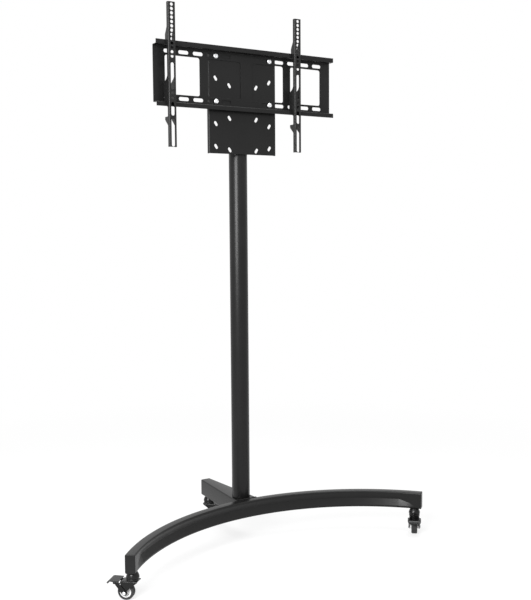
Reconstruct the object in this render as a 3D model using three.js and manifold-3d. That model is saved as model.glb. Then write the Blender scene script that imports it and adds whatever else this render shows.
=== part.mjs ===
// A free-standing television stand: an arc-shaped base tube and a rear leg on three braked casters,
// a round column, and a folded wall plate that carries two hook-on arms.
// Millimetres, +Z up, the television side towards -Y, +X to the right as seen from the front.

import * as THREE from "three";
import { mergeVertices } from "three/addons/utils/BufferGeometryUtils.js";
import Module from "manifold-3d";

const wasm = await Module();
wasm.setup();

// Clearances
const seat = 0.3; // between two pieces that rest on each other
const running = 0.3; // around a shaft or bolt in its hole, and beside a turning face
const overrun = 6; // how far a cutter passes the face that it leaves by
const mergeReach = 1e-3; // corners closer than this are one corner

// Smoothness
const holeSides = 10;
const shaftSides = 12;
const wheelSides = 20;
const columnSides = 24;
const arcSteps = 36;
const fadeSteps = 2;
const bendSteps = 3;
const tubeCornerSteps = 1;

// Caster: x is the heading, y the axle, z up, from the floor under the stem
const wheel = {
  radius: 24,
  width: 20,
  edgeRound: 3,
  tyreDepth: 7,
  tyreLip: 1.5,
  coreWidth: 17,
  rimDepth: 4,
  dish: 4.5,
  hubRadius: 7.5,
};
const axle = { radius: 3, headRadius: 5.5, headHeight: 2.2, across: 9 };
const fork = {
  trail: 19.5,
  sheet: 2.2,
  sideGap: 5,
  crownGap: 7.8,
  crownLead: 5,
  fenderEnd: 66,
  bossRadius: 8,
  kneeReach: 8,
  kneeRise: 12,
  heelReach: 2,
  heelRise: 19,
  heelDrop: 3,
};
const swivel = { radius: 18, height: 6, shoulder: 2 };
const dome = { radius: 19, rim: 5, shoulderRadius: 17, shoulderRise: 10.7, neckRadius: 12.5, height: 18.4 };
const stem = { radius: 5, headRadius: 9, headHeight: 3, tail: 6 };
const stemNut = { across: 16, height: 8 };
const tread = { sheet: 2, halfWidth: 22, reach: 52, rearReach: 15, nose: 12, bend: 10 };
const lever = { sheet: 1.8, armGap: 0.6, rearReach: 17, armRoot: 14, armFoot: 6, bossRadius: 7, plateReach: 40.4 };
const shoe = {
  width: 5,
  wall: 2,
  window: 6.2,
  windowHeight: 9,
  post: 8.5,
  topBar: 3,
  bottomBar: 2.8,
  tip: 3.8,
  pinWidth: 2,
  pinDrop: 5,
};

// Heights of the caster's stack, from the floor up
const axleHeight = wheel.radius;
const crownUnder = 2 * wheel.radius + fork.crownGap;
const crownTop = crownUnder + fork.sheet;
const hoodTop = crownTop + swivel.height;
const domeUnder = hoodTop + running;
const domeTop = domeUnder + dome.height;

// Base tube and rear leg
const arc = {
  radius: 712,
  width: 30,
  height: 55,
  wall: 2,
  corner: 4,
  halfAngle: 50.2,
  stemInset: 22,
  plainEnd: 21,
  grooveFade: 55,
  grooveDepth: 10,
  grooveEdge: 3,
};
const grooveApexShare = 0.52;
const leg = { length: 284, frontWidth: 80, rearWidth: 36, wall: 2, corner: 4, stemInset: 22 };
const endCap = { flange: 3, plug: 11 };
const base = { under: domeTop + seat };
base.top = base.under + arc.height;

// Column and its foot, and the thinner mast that stands in its upper end with the saddle
const column = { radius: 30, wall: 2, length: 1144.7, behindArc: 4 };
const mast = { radius: 16, wall: 2, above: 317, inside: 160 };
const mastCap = { flange: 3.2, plug: 12 };
const bushing = { flange: 3, height: 60, boltInset: 15 };
const foot = { plug: 12, boltSpacing: 28 };
const hexBolt = { radius: 4, across: 13, head: 5.3, tail: 2 };
const hexNut = { across: 13, height: 6.5 };
const saddle = { sheet: 2.4, height: 290, drop: 12, depth: 40, bend: 3, boltInset: 40 };

// Head plate: its slots stand at [beside the middle, above the lower edge], and lean outwards
const head = { width: 250, height: 330, sheet: 2, flange: 12, bend: 3, rise: 9 };
const headSlot = { length: 17, width: 9, lean: 33, inner: 50, outer: 100 };
const innerSlotHeights = [13, 113, 216];
const outerSlotHeights = [22, 94, 236];

// Wall plate: windows and slots are measured from its middle
const plate = {
  width: 660,
  halfSheet: 87,
  sheet: 2,
  reach: 25,
  lip: 12.5,
  bend: 3,
  shift: 12.5,
  drop: 87.4,
  windowHalf: 59,
  windowCorner: 7,
  slotRow: 71,
  slotLength: 35,
  slotWidth: 11.5,
  roundHole: 5.5,
};
// Across the wall plate, as shares of half its width from its middle
const windowShares = [
  [0.0636, 0.4273],
  [0.5152, 0.8788],
];
const slotShares = [0.2282, 0.3803, 0.5324, 0.6845, 0.8367];
const roundHoleShare = 0.5;
const roundHoleRank = 2; // the slot, counted from 0, that a round hole stands in for
const leftArmShare = -0.8591;
const rightArmShare = 0.5303;
const wallBolt = { radius: 4, headRadius: 8.3, head: 5, spacing: 200, rise: 142, tail: 2.5 };

// Arms: heights are measured from the wall plate's middle, depths from the front face
const arm = {
  width: 25,
  sheet: 2,
  above: 210,
  below: 223,
  depth: 11,
  lipFrontGap: 15.7,
  hookDepth: 23,
  hookTip: 1.6,
  hookTop: 115,
  hookShoulder: 137,
  lipStep: 4,
  deep: 34,
  deepStart: 8,
  deepBend: 15,
  deepTop: 28,
  tabDepth: 30,
  tabTop: 131,
  tabEdge: 9,
  tabFoot: 158,
};
const armHoles = { radius: 4.9, pitch: 12.8, count: 13, top: 202 };
const armLowHoles = [-61, -75];
const armSlots = { width: 11, spans: [[-50, 30], [-129, -88], [-222, -138.5]] };

// Places that follow from the sizes
const columnY = head.sheet + seat + saddle.sheet + seat + column.radius;
const arcCentreY = columnY - column.radius - column.behindArc - arc.radius;
const arcBackY = arcCentreY + arc.radius;
const columnFoot = base.top + seat;
const columnTop = columnFoot + column.length;
const mastTop = columnTop + mast.above;
const headBottom = mastTop + head.rise - head.height;
const plateZ = mastTop - plate.drop;
const plateHalf = plate.width / 2;
const leftArmX = plate.shift + leftArmShare * plateHalf;
const rightArmX = plate.shift + rightArmShare * plateHalf;
const plateBackY = -seat;
const plateFrontY = plateBackY - plate.sheet;
const lipFrontY = plateBackY - plate.reach;
const lipBackY = lipFrontY + plate.sheet;
const armFrontY = lipFrontY - arm.lipFrontGap;
const legRearY = arcBackY + leg.length;

// Outlines

const degrees = Math.PI / 180;
const at = (x, y) => new THREE.Vector2(x, y);
const place = (x, y, z) => new THREE.Vector3(x, y, z);

// Points on an arc between two angles in degrees.
function arcPoints(x, y, radius, from, to, steps) {
  const points = [];
  for (let i = 0; i <= steps; i++) {
    const angle = (from + ((to - from) * i) / steps) * degrees;
    points.push(at(x + radius * Math.cos(angle), y + radius * Math.sin(angle)));
  }
  return points;
}

// A circle whose flats, and not its corners, lie at the radius.
function circle(x, y, radius, sides) {
  const cornerRadius = radius / Math.cos(Math.PI / sides);
  const half = 180 / sides;
  return arcPoints(x, y, cornerRadius, half, 360 - half, sides - 1);
}

// A closed outline through corners given as [x, y, rounding radius].
function rounded(corners, steps = bendSteps) {
  const count = corners.length;
  return corners.flatMap(([x, y, radius = 0], i) => {
    const corner = at(x, y);
    if (radius <= 0) return [corner];
    const towards = (j) => at(corners[j][0], corners[j][1]).sub(corner).normalize();
    const back = towards((i + count - 1) % count);
    const ahead = towards((i + 1) % count);
    const half = Math.acos(back.dot(ahead)) / 2;
    const middle = back.clone().add(ahead).normalize();
    const centre = corner.clone().addScaledVector(middle, radius / Math.sin(half));
    const reach = radius / Math.tan(half);
    const first = corner.clone().addScaledVector(back, reach).sub(centre);
    const last = corner.clone().addScaledVector(ahead, reach).sub(centre);
    const turn = Math.atan2(first.cross(last), first.dot(last));
    const start = first.angle();
    return arcPoints(centre.x, centre.y, radius, start / degrees, (start + turn) / degrees, steps);
  });
}

function rectangle(x0, y0, x1, y1, radius = 0, steps = bendSteps) {
  return rounded([[x0, y0, radius], [x1, y0, radius], [x1, y1, radius], [x0, y1, radius]], steps);
}

// A slot with round ends; it stands upright at a lean of 0 and lies flat at 90.
function slotOutline(x, y, length, width, lean) {
  const half = (length - width) / 2;
  const dx = half * Math.sin(lean * degrees);
  const dy = half * Math.cos(lean * degrees);
  const steps = holeSides / 2;
  return [
    ...arcPoints(x + dx, y + dy, width / 2, -lean, 180 - lean, steps),
    ...arcPoints(x - dx, y - dy, width / 2, 180 - lean, 360 - lean, steps),
  ];
}

// Solids

// Positions and an index only, with shared corners merged and empty triangles dropped.
function merged(geometry) {
  const bare = geometry.clone();
  bare.deleteAttribute("normal");
  bare.deleteAttribute("uv");
  const joined = mergeVertices(bare, mergeReach);
  const corners = Array.from(joined.index.array);
  const kept = [];
  for (let i = 0; i < corners.length; i += 3) {
    const [a, b, c] = corners.slice(i, i + 3);
    if (a !== b && b !== c && c !== a) kept.push(a, b, c);
  }
  return joined.setIndex(kept);
}

function solidOf(geometry) {
  return new wasm.Manifold(
    new wasm.Mesh({
      numProp: 3,
      vertProperties: new Float32Array(geometry.attributes.position.array),
      triVerts: new Uint32Array(geometry.index.array),
    }),
  );
}

function geometryOf(solid) {
  const { vertProperties, triVerts } = solid.getMesh();
  return new THREE.BufferGeometry()
    .setAttribute("position", new THREE.BufferAttribute(vertProperties, 3))
    .setIndex(new THREE.BufferAttribute(triVerts, 1));
}

function join(...parts) {
  return geometryOf(parts.map(solidOf).reduce((whole, part) => whole.add(part)));
}

function cut(body, ...tools) {
  return geometryOf(tools.map(solidOf).reduce((whole, tool) => whole.subtract(tool), solidOf(body)));
}

// Each axis takes its outline in the other two: x in (y, z), y in (x, z), z in (x, y).
const bases = {
  x: [place(0, 1, 0), place(0, 0, 1), place(1, 0, 0)],
  y: [place(1, 0, 0), place(0, 0, 1), place(0, -1, 0)],
  z: [place(1, 0, 0), place(0, 1, 0), place(0, 0, 1)],
};

// An outline pulled along an axis, from the low to the high coordinate.
function prism(axis, outline, low, high) {
  const settings = { depth: high - low, bevelEnabled: false };
  const geometry = merged(new THREE.ExtrudeGeometry(new THREE.Shape(outline), settings));
  const basis = bases[axis];
  const start = axis === "y" ? -high : low;
  const matrix = new THREE.Matrix4().makeBasis(...basis);
  return geometry.applyMatrix4(matrix.setPosition(basis[2].clone().multiplyScalar(start)));
}

// A profile of [radius, height] pairs turned about an axis, with its flats at the radius.
function turned(axis, profile, sides) {
  const outwards = 1 / Math.cos(Math.PI / sides);
  const points = profile.map(([radius, height]) => at(radius * outwards, height));
  const geometry = merged(new THREE.LatheGeometry(points, sides, Math.PI / sides));
  return axis === "z" ? geometry.rotateX(90 * degrees) : geometry;
}

// A closed skin through sections, each an outline and the function that places its points.
// The outlines are seen whole from their middle, so each end is a fan of triangles.
function loft(sections) {
  const count = sections[0].outline.length;
  const points = sections.flatMap(({ outline, put }) => outline.map(put));
  const index = [];
  for (let ring = 0; ring < sections.length - 1; ring++) {
    for (let i = 0; i < count; i++) {
      const a = ring * count + i;
      const b = ring * count + ((i + 1) % count);
      index.push(a, b, b + count, a, b + count, a + count);
    }
  }
  const last = points.length - count;
  const middleOf = (start) => {
    const ring = points.slice(start, start + count);
    return ring.reduce((sum, point) => sum.add(point), place(0, 0, 0)).divideScalar(count);
  };
  const middles = [middleOf(0), middleOf(last)];
  const firstMiddle = points.length;
  for (let i = 0; i < count; i++) {
    const next = (i + 1) % count;
    index.push(firstMiddle, next, i, firstMiddle + 1, last + i, last + next);
  }
  return new THREE.BufferGeometry().setFromPoints([...points, ...middles]).setIndex(index);
}

// Materials

const finish = (color, roughness, metalness) =>
  new THREE.MeshStandardMaterial({ color, roughness, metalness, flatShading: true });
const powderCoat = () => finish(0x34373a, 0.55, 0.3);
const blackPlastic = () => finish(0x161718, 0.5, 0);
const brightZinc = () => finish(0xc6cacd, 0.3, 0.9);
const palePlastic = () => finish(0xd9dad8, 0.5, 0);
const tyreRubber = () => finish(0x1b1b1c, 0.8, 0);

function meshOf(name, geometry, material) {
  const mesh = new THREE.Mesh(geometry, material);
  mesh.name = name;
  return mesh;
}

// Fasteners

// A hexagon bolt along +Z: the head's bearing face is at z = 0 and the shank rises from it.
function hexBoltSolid(shank) {
  const headSolid = prism("z", circle(0, 0, hexBolt.across / 2, 6), -hexBolt.head, 0);
  const shankSolid = prism("z", circle(0, 0, hexBolt.radius, shaftSides), -hexBolt.head / 2, shank);
  return join(headSolid, shankSolid);
}

// A hexagon nut between two heights on an axis.
function nutSolid(axis, u, v, low, high, across, boltRadius) {
  const bore = circle(u, v, boltRadius + running, shaftSides);
  return cut(
    prism(axis, circle(u, v, across / 2, 6), low, high),
    prism(axis, bore, low - overrun, high + overrun),
  );
}

// Base tube

// A point of the base tube from its turn about the arc's centre, in radians.
const onArc = (turn) => (p) => place(p.x * Math.sin(turn), arcCentreY + p.x * Math.cos(turn), p.y);

const arcTurn = (length) => length / arc.radius;
const arcEnd = arc.halfAngle * degrees;

// The pressed groove grows shallower in a straight line towards the plain ends, where the caps go in.
function grooveDepthAt(turn) {
  const fromEnd = (arcEnd - Math.abs(turn)) * arc.radius;
  const share = (fromEnd - arc.plainEnd) / arc.grooveFade;
  return arc.grooveDepth * THREE.MathUtils.clamp(share, 0, 1);
}

// The tube's section as radius and height, drawn in by an inset, with its groove in the hollow side.
function arcSection(inset, grooveDepth) {
  const outer = arc.radius - inset;
  const inner = arc.radius - arc.width + inset;
  const low = base.under + inset;
  const high = base.top - inset;
  const corner = arc.corner - inset;
  const edge = arc.corner + arc.grooveEdge;
  const apex = base.under + arc.height * grooveApexShare;
  const corners = [
    [outer, low, corner],
    [outer, high, corner],
    [inner, high, corner],
    [inner, base.top - edge],
    [inner + grooveDepth, apex],
    [inner, base.under + edge],
    [inner, low, corner],
  ];
  return rounded(corners, tubeCornerSteps);
}

// A stretch of tube section through the turns in a list.
function arcStretch(inset, turns, depthAt) {
  return loft(turns.map((turn) => ({ outline: arcSection(inset, depthAt(turn)), put: onArc(turn) })));
}

// Evenly spaced turns, both ends included.
function evenTurns(from, to, steps) {
  return Array.from({ length: steps + 1 }, (_, i) => THREE.MathUtils.lerp(from, to, i / steps));
}

// The base tube's turns: even along the full groove, then the stretch where it fades and the plain end.
function tubeTurns(past) {
  const full = arcEnd - arcTurn(arc.plainEnd + arc.grooveFade);
  const plain = arcEnd - arcTurn(arc.plainEnd);
  const end = [...evenTurns(full, plain, fadeSteps).slice(1), arcEnd + past];
  return [...end.map((turn) => -turn).reverse(), ...evenTurns(-full, full, arcSteps), ...end];
}

// Where a caster's stem meets the base tube, on the left (-1) or the right (1).
function arcStemPlace(side) {
  const turn = side * (arcEnd - arcTurn(arc.stemInset));
  return onArc(turn)(at(arc.radius - arc.width / 2, 0));
}

// The hole through the lower wall that a stem passes.
function stemHole(x, y, wall) {
  const outline = circle(x, y, stem.radius + running, holeSides);
  return prism("z", outline, base.under - overrun, base.under + wall + overrun);
}

function arcTube() {
  const outside = arcStretch(0, tubeTurns(0), grooveDepthAt);
  const inside = arcStretch(arc.wall, tubeTurns(arcTurn(overrun)), grooveDepthAt);
  const holes = [-1, 1].map((side) => {
    const { x, y } = arcStemPlace(side);
    return stemHole(x, y, arc.wall);
  });
  return meshOf("arc_tube", cut(outside, inside, ...holes), powderCoat());
}

function arcCap(name, side) {
  const plain = () => 0;
  const ends = (near, beyond) => [arcEnd + arcTurn(near), arcEnd + arcTurn(beyond)];
  const ordered = ([a, b]) => (side < 0 ? [-b, -a] : [a, b]);
  const plugInset = arc.wall + seat;
  const flange = arcStretch(0, ordered(ends(seat, seat + endCap.flange)), plain);
  const plug = arcStretch(plugInset, ordered(ends(-endCap.plug, seat + endCap.flange / 2)), plain);
  return meshOf(name, join(flange, plug), blackPlastic());
}

// Rear leg

const legFrontY = arcBackY - arc.width / 2;

// Half the leg's width at a depth, drawn in by an inset.
function legHalfWidth(y, inset) {
  const share = (y - arcBackY) / leg.length;
  return THREE.MathUtils.lerp(leg.frontWidth, leg.rearWidth, share) / 2 - inset;
}

// A stretch of the leg's box between two depths.
function legStretch(inset, fromY, toY, corner) {
  const sections = [fromY, toY].map((y) => {
    const half = legHalfWidth(y, inset);
    const outline = rectangle(-half, base.under + inset, half, base.top - inset, corner, tubeCornerSteps);
    return { outline, put: (p) => place(-p.x, y, p.y) };
  });
  return loft(sections);
}

const rearStem = { x: 0, y: legRearY - leg.stemInset };
const footBoltYs = [-foot.boltSpacing / 2, foot.boltSpacing / 2].map((step) => columnY + step);

function rearLeg() {
  const outside = legStretch(0, legFrontY, legRearY, leg.corner);
  const inside = legStretch(leg.wall, legFrontY - overrun, legRearY + overrun, leg.corner - leg.wall);
  const arcOutline = circle(0, arcCentreY, arc.radius + seat, 4 * arcSteps);
  const arcRoom = prism("z", arcOutline, base.under - overrun, base.top + overrun);
  const boltHoles = footBoltYs.map((y) => {
    const outline = circle(0, y, hexBolt.radius + running, holeSides);
    return prism("z", outline, base.under - overrun, base.top + overrun);
  });
  const hole = stemHole(rearStem.x, rearStem.y, leg.wall);
  return meshOf("rear_leg", cut(outside, inside, arcRoom, hole, ...boltHoles), powderCoat());
}

function rearLegCap() {
  const plugInset = leg.wall + seat;
  const from = legRearY + seat;
  const flange = legStretch(0, from, from + endCap.flange, leg.corner);
  const plug = legStretch(plugInset, legRearY - endCap.plug, from + endCap.flange / 2, leg.corner - leg.wall);
  return meshOf("rear_leg_cap", join(flange, plug), blackPlastic());
}

// Column

// A bore across the column at a height, along X.
function saddleBore(z, halfLength) {
  const outline = circle(columnY, z, hexBolt.radius + running, holeSides);
  return prism("x", outline, -halfLength, halfLength);
}

const saddleTop = mastTop - saddle.drop;
const saddleBottom = saddleTop - saddle.height;
const saddleBoltHeights = { upper: saddleTop - saddle.boltInset, lower: saddleBottom + saddle.boltInset };
const mastBoltHeights = {
  upper: columnTop - bushing.boltInset,
  lower: columnTop - bushing.height + bushing.boltInset,
};

// A round tube on the column's axis between two heights.
function uprightTube(radius, wall, low, high) {
  const inner = radius - wall;
  const profile = [
    [inner, low],
    [radius, low],
    [radius, high],
    [inner, high],
    [inner, low],
  ];
  return turned("z", profile, columnSides).translate(0, columnY, 0);
}

// The bores that the mast's bolts take from the rear to the column's middle.
function mastBores() {
  return Object.values(mastBoltHeights).map((z) => {
    const outline = circle(0, z, hexBolt.radius + running, holeSides);
    return prism("y", outline, columnY, columnY + column.radius + overrun);
  });
}

function columnTube() {
  const tube = uprightTube(column.radius, column.wall, columnFoot, columnTop);
  return meshOf("column", cut(tube, ...mastBores()), powderCoat());
}

function mastTube() {
  const tube = uprightTube(mast.radius, mast.wall, columnTop - mast.inside, mastTop);
  const crossBores = Object.values(saddleBoltHeights).map((z) => saddleBore(z, mast.radius + overrun));
  return meshOf("mast", cut(tube, ...mastBores(), ...crossBores), powderCoat());
}

// The sleeve that fills the column's upper end around the mast, with a rim on the column's edge.
function mastBushing() {
  const inner = mast.radius + seat;
  const outer = column.radius - column.wall - seat;
  const rim = columnTop + seat;
  const profile = [
    [inner, columnTop - bushing.height],
    [outer, columnTop - bushing.height],
    [outer, rim],
    [column.radius, rim],
    [column.radius, rim + bushing.flange],
    [inner, rim + bushing.flange],
    [inner, columnTop - bushing.height],
  ];
  const sleeve = turned("z", profile, columnSides).translate(0, columnY, 0);
  return meshOf("mast_bushing", cut(sleeve, ...mastBores()), blackPlastic());
}

// A bolt from the rear through the column and its bushing into the mast.
function mastBolt(level) {
  const bearing = column.radius + seat;
  const shank = bearing - mast.radius + mast.wall + hexBolt.tail;
  const mesh = meshOf(`mast_bolt_${level}`, hexBoltSolid(shank), brightZinc());
  mesh.rotation.x = 90 * degrees;
  mesh.position.set(0, columnY + bearing, mastBoltHeights[level]);
  return mesh;
}

function mastTopCap() {
  const under = mastTop + seat;
  const plugRadius = mast.radius - mast.wall - seat;
  const profile = [
    [0, under - mastCap.plug],
    [plugRadius, under - mastCap.plug],
    [plugRadius, under],
    [mast.radius, under],
    [mast.radius, under + mastCap.flange / 2],
    [mast.radius - mastCap.flange / 2, under + mastCap.flange],
    [0, under + mastCap.flange],
  ];
  return meshOf("mast_cap", turned("z", profile, columnSides).translate(0, columnY, 0), blackPlastic());
}

function footPlug() {
  const outline = circle(0, columnY, column.radius - column.wall - seat, columnSides);
  const bores = footBoltYs.map((y) => {
    const bore = circle(0, y, hexBolt.radius + running, holeSides);
    return prism("z", bore, columnFoot - overrun, columnFoot + foot.plug + overrun);
  });
  const disc = prism("z", outline, columnFoot, columnFoot + foot.plug);
  return meshOf("foot_plug", cut(disc, ...bores), brightZinc());
}

function footBolt(name, y) {
  const under = base.under - seat;
  const mesh = meshOf(name, hexBoltSolid(columnFoot + foot.plug - under), brightZinc());
  mesh.position.set(0, y, under);
  return mesh;
}

// Saddle and head plate

// A channel in (x, y) with its web at the front and its two sides folded back.
function channelOutline(halfWidth, frontY, depth, sheet, bend) {
  const backY = frontY + depth;
  const inner = halfWidth - sheet;
  const innerBend = bend - sheet;
  return rounded([
    [-halfWidth, backY],
    [-halfWidth, frontY, bend],
    [halfWidth, frontY, bend],
    [halfWidth, backY],
    [inner, backY],
    [inner, frontY + sheet, innerBend],
    [-inner, frontY + sheet, innerBend],
    [-inner, backY],
  ]);
}

const saddleHalfWidth = mast.radius + seat + saddle.sheet;

function saddleChannel() {
  const frontY = head.sheet + seat;
  const outline = channelOutline(saddleHalfWidth, frontY, saddle.depth, saddle.sheet, saddle.bend);
  const bores = Object.values(saddleBoltHeights).map((z) => saddleBore(z, saddleHalfWidth + overrun));
  return meshOf("saddle", cut(prism("z", outline, saddleBottom, saddleTop), ...bores), powderCoat());
}

function saddleFasteners(level) {
  const z = saddleBoltHeights[level];
  const side = saddleHalfWidth + seat;
  const nutEnd = side + hexNut.height;
  const bolt = meshOf(`saddle_bolt_${level}`, hexBoltSolid(side + nutEnd + hexBolt.tail), brightZinc());
  bolt.rotation.y = 90 * degrees;
  bolt.position.set(-side, columnY, z);
  const nut = nutSolid("x", columnY, z, side, nutEnd, hexNut.across, hexBolt.radius);
  return [bolt, meshOf(`saddle_nut_${level}`, nut, brightZinc())];
}

// The four bolts that hold the wall plate, as side (-1 left, 1 right) and level (1 upper, -1 lower).
const wallBoltPlaces = [
  { name: "upper_left", x: -wallBolt.spacing / 2, z: plateZ + wallBolt.rise / 2 },
  { name: "upper_right", x: wallBolt.spacing / 2, z: plateZ + wallBolt.rise / 2 },
  { name: "lower_left", x: -wallBolt.spacing / 2, z: plateZ - wallBolt.rise / 2 },
  { name: "lower_right", x: wallBolt.spacing / 2, z: plateZ - wallBolt.rise / 2 },
];

// The holes of the four bolts through the sheets between two depths.
function wallBoltHoles(nearY, farY) {
  return wallBoltPlaces.map(({ x, z }) => {
    const outline = circle(x, z, wallBolt.radius + running, holeSides);
    return prism("y", outline, nearY - overrun, farY + overrun);
  });
}

function headPlate() {
  const outline = channelOutline(head.width / 2, 0, head.flange, head.sheet, head.bend);
  const sheet = prism("z", outline, headBottom, headBottom + head.height);
  const slots = [
    [headSlot.inner, innerSlotHeights],
    [headSlot.outer, outerSlotHeights],
  ].flatMap(([x, heights]) =>
    heights.flatMap((rise) =>
      [-1, 1].map((side) => {
        const lean = side * headSlot.lean;
        const slot = slotOutline(side * x, headBottom + rise, headSlot.length, headSlot.width, lean);
        return prism("y", slot, -overrun, head.sheet + overrun);
      }),
    ),
  );
  const holes = wallBoltHoles(0, head.sheet);
  return meshOf("head_plate", cut(sheet, ...slots, ...holes), powderCoat());
}

// Wall plate

// The folded section in (y, z): an upright sheet, two ledges and two lips.
function plateSection() {
  const { halfSheet, sheet, bend, lip } = plate;
  const ledge = halfSheet - sheet;
  const tip = halfSheet + lip;
  const inner = bend - sheet;
  const half = [
    [plateBackY, halfSheet, bend],
    [lipBackY, halfSheet, inner],
    [lipBackY, tip],
    [lipFrontY, tip],
    [lipFrontY, ledge, bend],
    [plateFrontY, ledge, inner],
  ];
  const mirrored = half.map(([y, z, radius]) => [y, -z, radius]).reverse();
  return rounded([...half, ...mirrored].map(([y, z, radius]) => [y, plateZ + z, radius]));
}

// One cutter through the upright sheet.
const throughPlate = (outline) => prism("y", outline, plateFrontY - overrun, plateBackY + overrun);

function wallPlate() {
  const middle = plate.shift;
  const sheet = prism("x", plateSection(), middle - plateHalf, middle + plateHalf);
  const windows = windowShares.flatMap((shares) =>
    [-1, 1].map((side) => {
      const [x0, x1] = shares.map((share) => side * share * plateHalf).sort((a, b) => a - b);
      const { windowHalf, windowCorner } = plate;
      const low = plateZ - windowHalf;
      const high = plateZ + windowHalf;
      return throughPlate(rectangle(middle + x0, low, middle + x1, high, windowCorner));
    }),
  );
  const slots = slotShares.flatMap((share, rank) =>
    [-1, 1].flatMap((side) =>
      [-1, 1].map((level) => {
        const z = plateZ + level * plate.slotRow;
        const isRound = side > 0 && level < 0 && rank === roundHoleRank;
        const roundX = middle + roundHoleShare * plateHalf;
        if (isRound) return throughPlate(circle(roundX, z, plate.roundHole, holeSides));
        const x = middle + side * share * plateHalf;
        return throughPlate(slotOutline(x, z, plate.slotLength, plate.slotWidth, 90));
      }),
    ),
  );
  const holes = wallBoltHoles(plateFrontY, plateBackY);
  return meshOf("wall_plate", cut(sheet, ...windows, ...slots, ...holes), powderCoat());
}

function wallFasteners({ name, x, z }) {
  const bearing = plateFrontY - seat;
  const nutFront = head.sheet + seat;
  const nutBack = nutFront + hexNut.height;
  const { radius, headRadius, head: headHeight, tail } = wallBolt;
  const profile = [
    [0, bearing - headHeight],
    [headRadius - headHeight / 2, bearing - headHeight],
    [headRadius, bearing - headHeight / 2],
    [headRadius, bearing],
    [radius, bearing],
    [radius, nutBack + tail],
    [0, nutBack + tail],
  ];
  const bolt = meshOf(`wall_bolt_${name}`, turned("y", profile, shaftSides), brightZinc());
  bolt.position.set(x, 0, z);
  const nut = nutSolid("y", x, z, nutFront, nutBack, hexNut.across, radius);
  return [bolt, meshOf(`wall_nut_${name}`, nut, brightZinc())];
}

// Arms

// The side view in (y, z): a hook over the upper lip, a deep web that sits on the lower ledge,
// and a tab under the lower lip. Heights are measured from the wall plate's middle.
function armSilhouette() {
  const rear = (depth) => armFrontY + depth;
  const upperLip = plate.halfSheet + plate.lip;
  const lipFace = lipFrontY - seat;
  const hookGap = lipBackY + seat;
  const points = [
    [armFrontY, -arm.below],
    [rear(arm.depth), -arm.below],
    [rear(arm.depth), -arm.tabFoot],
    [rear(arm.tabDepth), -arm.tabTop - arm.tabEdge],
    [rear(arm.tabDepth), -arm.tabTop],
    [rear(arm.depth), -arm.tabTop],
    [rear(arm.depth), -upperLip - arm.lipStep],
    [lipFace, -upperLip],
    [lipFace, -plate.halfSheet + plate.sheet + seat],
    [rear(arm.deep), -plate.halfSheet + plate.sheet + seat],
    [rear(arm.deep), -arm.deepTop],
    [lipFace, -arm.deepBend],
    [rear(arm.depth), -arm.deepStart],
    [rear(arm.depth), plate.halfSheet - plate.sheet - arm.lipStep],
    [lipFace, plate.halfSheet - plate.sheet],
    [lipFace, upperLip + seat],
    [hookGap, upperLip + seat],
    [hookGap, plate.halfSheet + arm.hookTip],
    [rear(arm.hookDepth), plate.halfSheet + arm.hookTip],
    [rear(arm.hookDepth), arm.hookTop],
    [rear(arm.depth), arm.hookShoulder],
    [rear(arm.depth), arm.above],
    [armFrontY, arm.above],
  ];
  return points.map(([y, z]) => at(y, plateZ + z));
}

function armMesh(name, x) {
  const half = arm.width / 2;
  const top = plateZ + arm.above;
  const bottom = plateZ - arm.below;
  const inside = rectangle(armFrontY + arm.sheet, bottom - overrun, overrun, top + overrun);
  const channel = cut(
    prism("x", armSilhouette(), x - half, x + half),
    prism("x", inside, x - half + arm.sheet, x + half - arm.sheet),
  );
  const throughFace = (outline) =>
    prism("y", outline, armFrontY - overrun, armFrontY + arm.sheet + overrun);
  const upperHoles = Array.from({ length: armHoles.count }, (_, i) => armHoles.top - i * armHoles.pitch);
  const holes = [...upperHoles, ...armLowHoles].map((rise) =>
    throughFace(circle(x, plateZ + rise, armHoles.radius, holeSides)),
  );
  const slots = armSlots.spans.map(([low, high]) =>
    throughFace(slotOutline(x, plateZ + (low + high) / 2, high - low, armSlots.width, 0)),
  );
  return meshOf(name, cut(channel, ...holes, ...slots), powderCoat());
}

// Casters

// The fork's inner and outer half widths, and the brake lever's arms outside it.
const forkInner = wheel.width / 2 + fork.sideGap;
const forkOuter = forkInner + fork.sheet;
const leverInner = forkOuter + lever.armGap;
const leverOuter = leverInner + lever.sheet;
const axleHalf = leverOuter + seat;
const fenderOuter = crownTop - axleHeight;
const fenderInner = crownUnder - axleHeight;

function casterStem() {
  const headTop = crownUnder - running;
  const top = base.under + arc.wall + seat + stemNut.height + stem.tail;
  const profile = [
    [0, headTop - stem.headHeight],
    [stem.headRadius, headTop - stem.headHeight],
    [stem.headRadius, headTop],
    [stem.radius, headTop],
    [stem.radius, top],
    [0, top],
  ];
  return turned("z", profile, shaftSides);
}

// The domed upper race between the tube and the fork's hood.
function swivelRace() {
  const bore = stem.radius + running;
  const profile = [
    [bore, domeUnder],
    [dome.radius, domeUnder],
    [dome.radius, domeUnder + dome.rim],
    [dome.shoulderRadius, domeUnder + dome.shoulderRise],
    [dome.neckRadius, domeTop],
    [bore, domeTop],
    [bore, domeUnder],
  ];
  return turned("z", profile, columnSides);
}

// The fork's side view in (x, z): a crown over the wheel, a short fender and a leg down to the axle.
function forkSide() {
  const { trail, bossRadius, crownLead, fenderEnd, kneeReach, kneeRise } = fork;
  const crownAngle = 90 - Math.asin(crownLead / fenderOuter) / degrees;
  return [
    ...arcPoints(trail, axleHeight, fenderOuter, fenderEnd, crownAngle, bendSteps),
    at(-swivel.radius, crownTop),
    at(-swivel.radius, crownTop - fork.heelDrop),
    at(-fork.heelReach, axleHeight + fork.heelRise),
    ...arcPoints(trail, axleHeight, bossRadius, 150, 390, 2 * bendSteps),
    at(trail + kneeReach, axleHeight + kneeRise),
  ];
}

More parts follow.
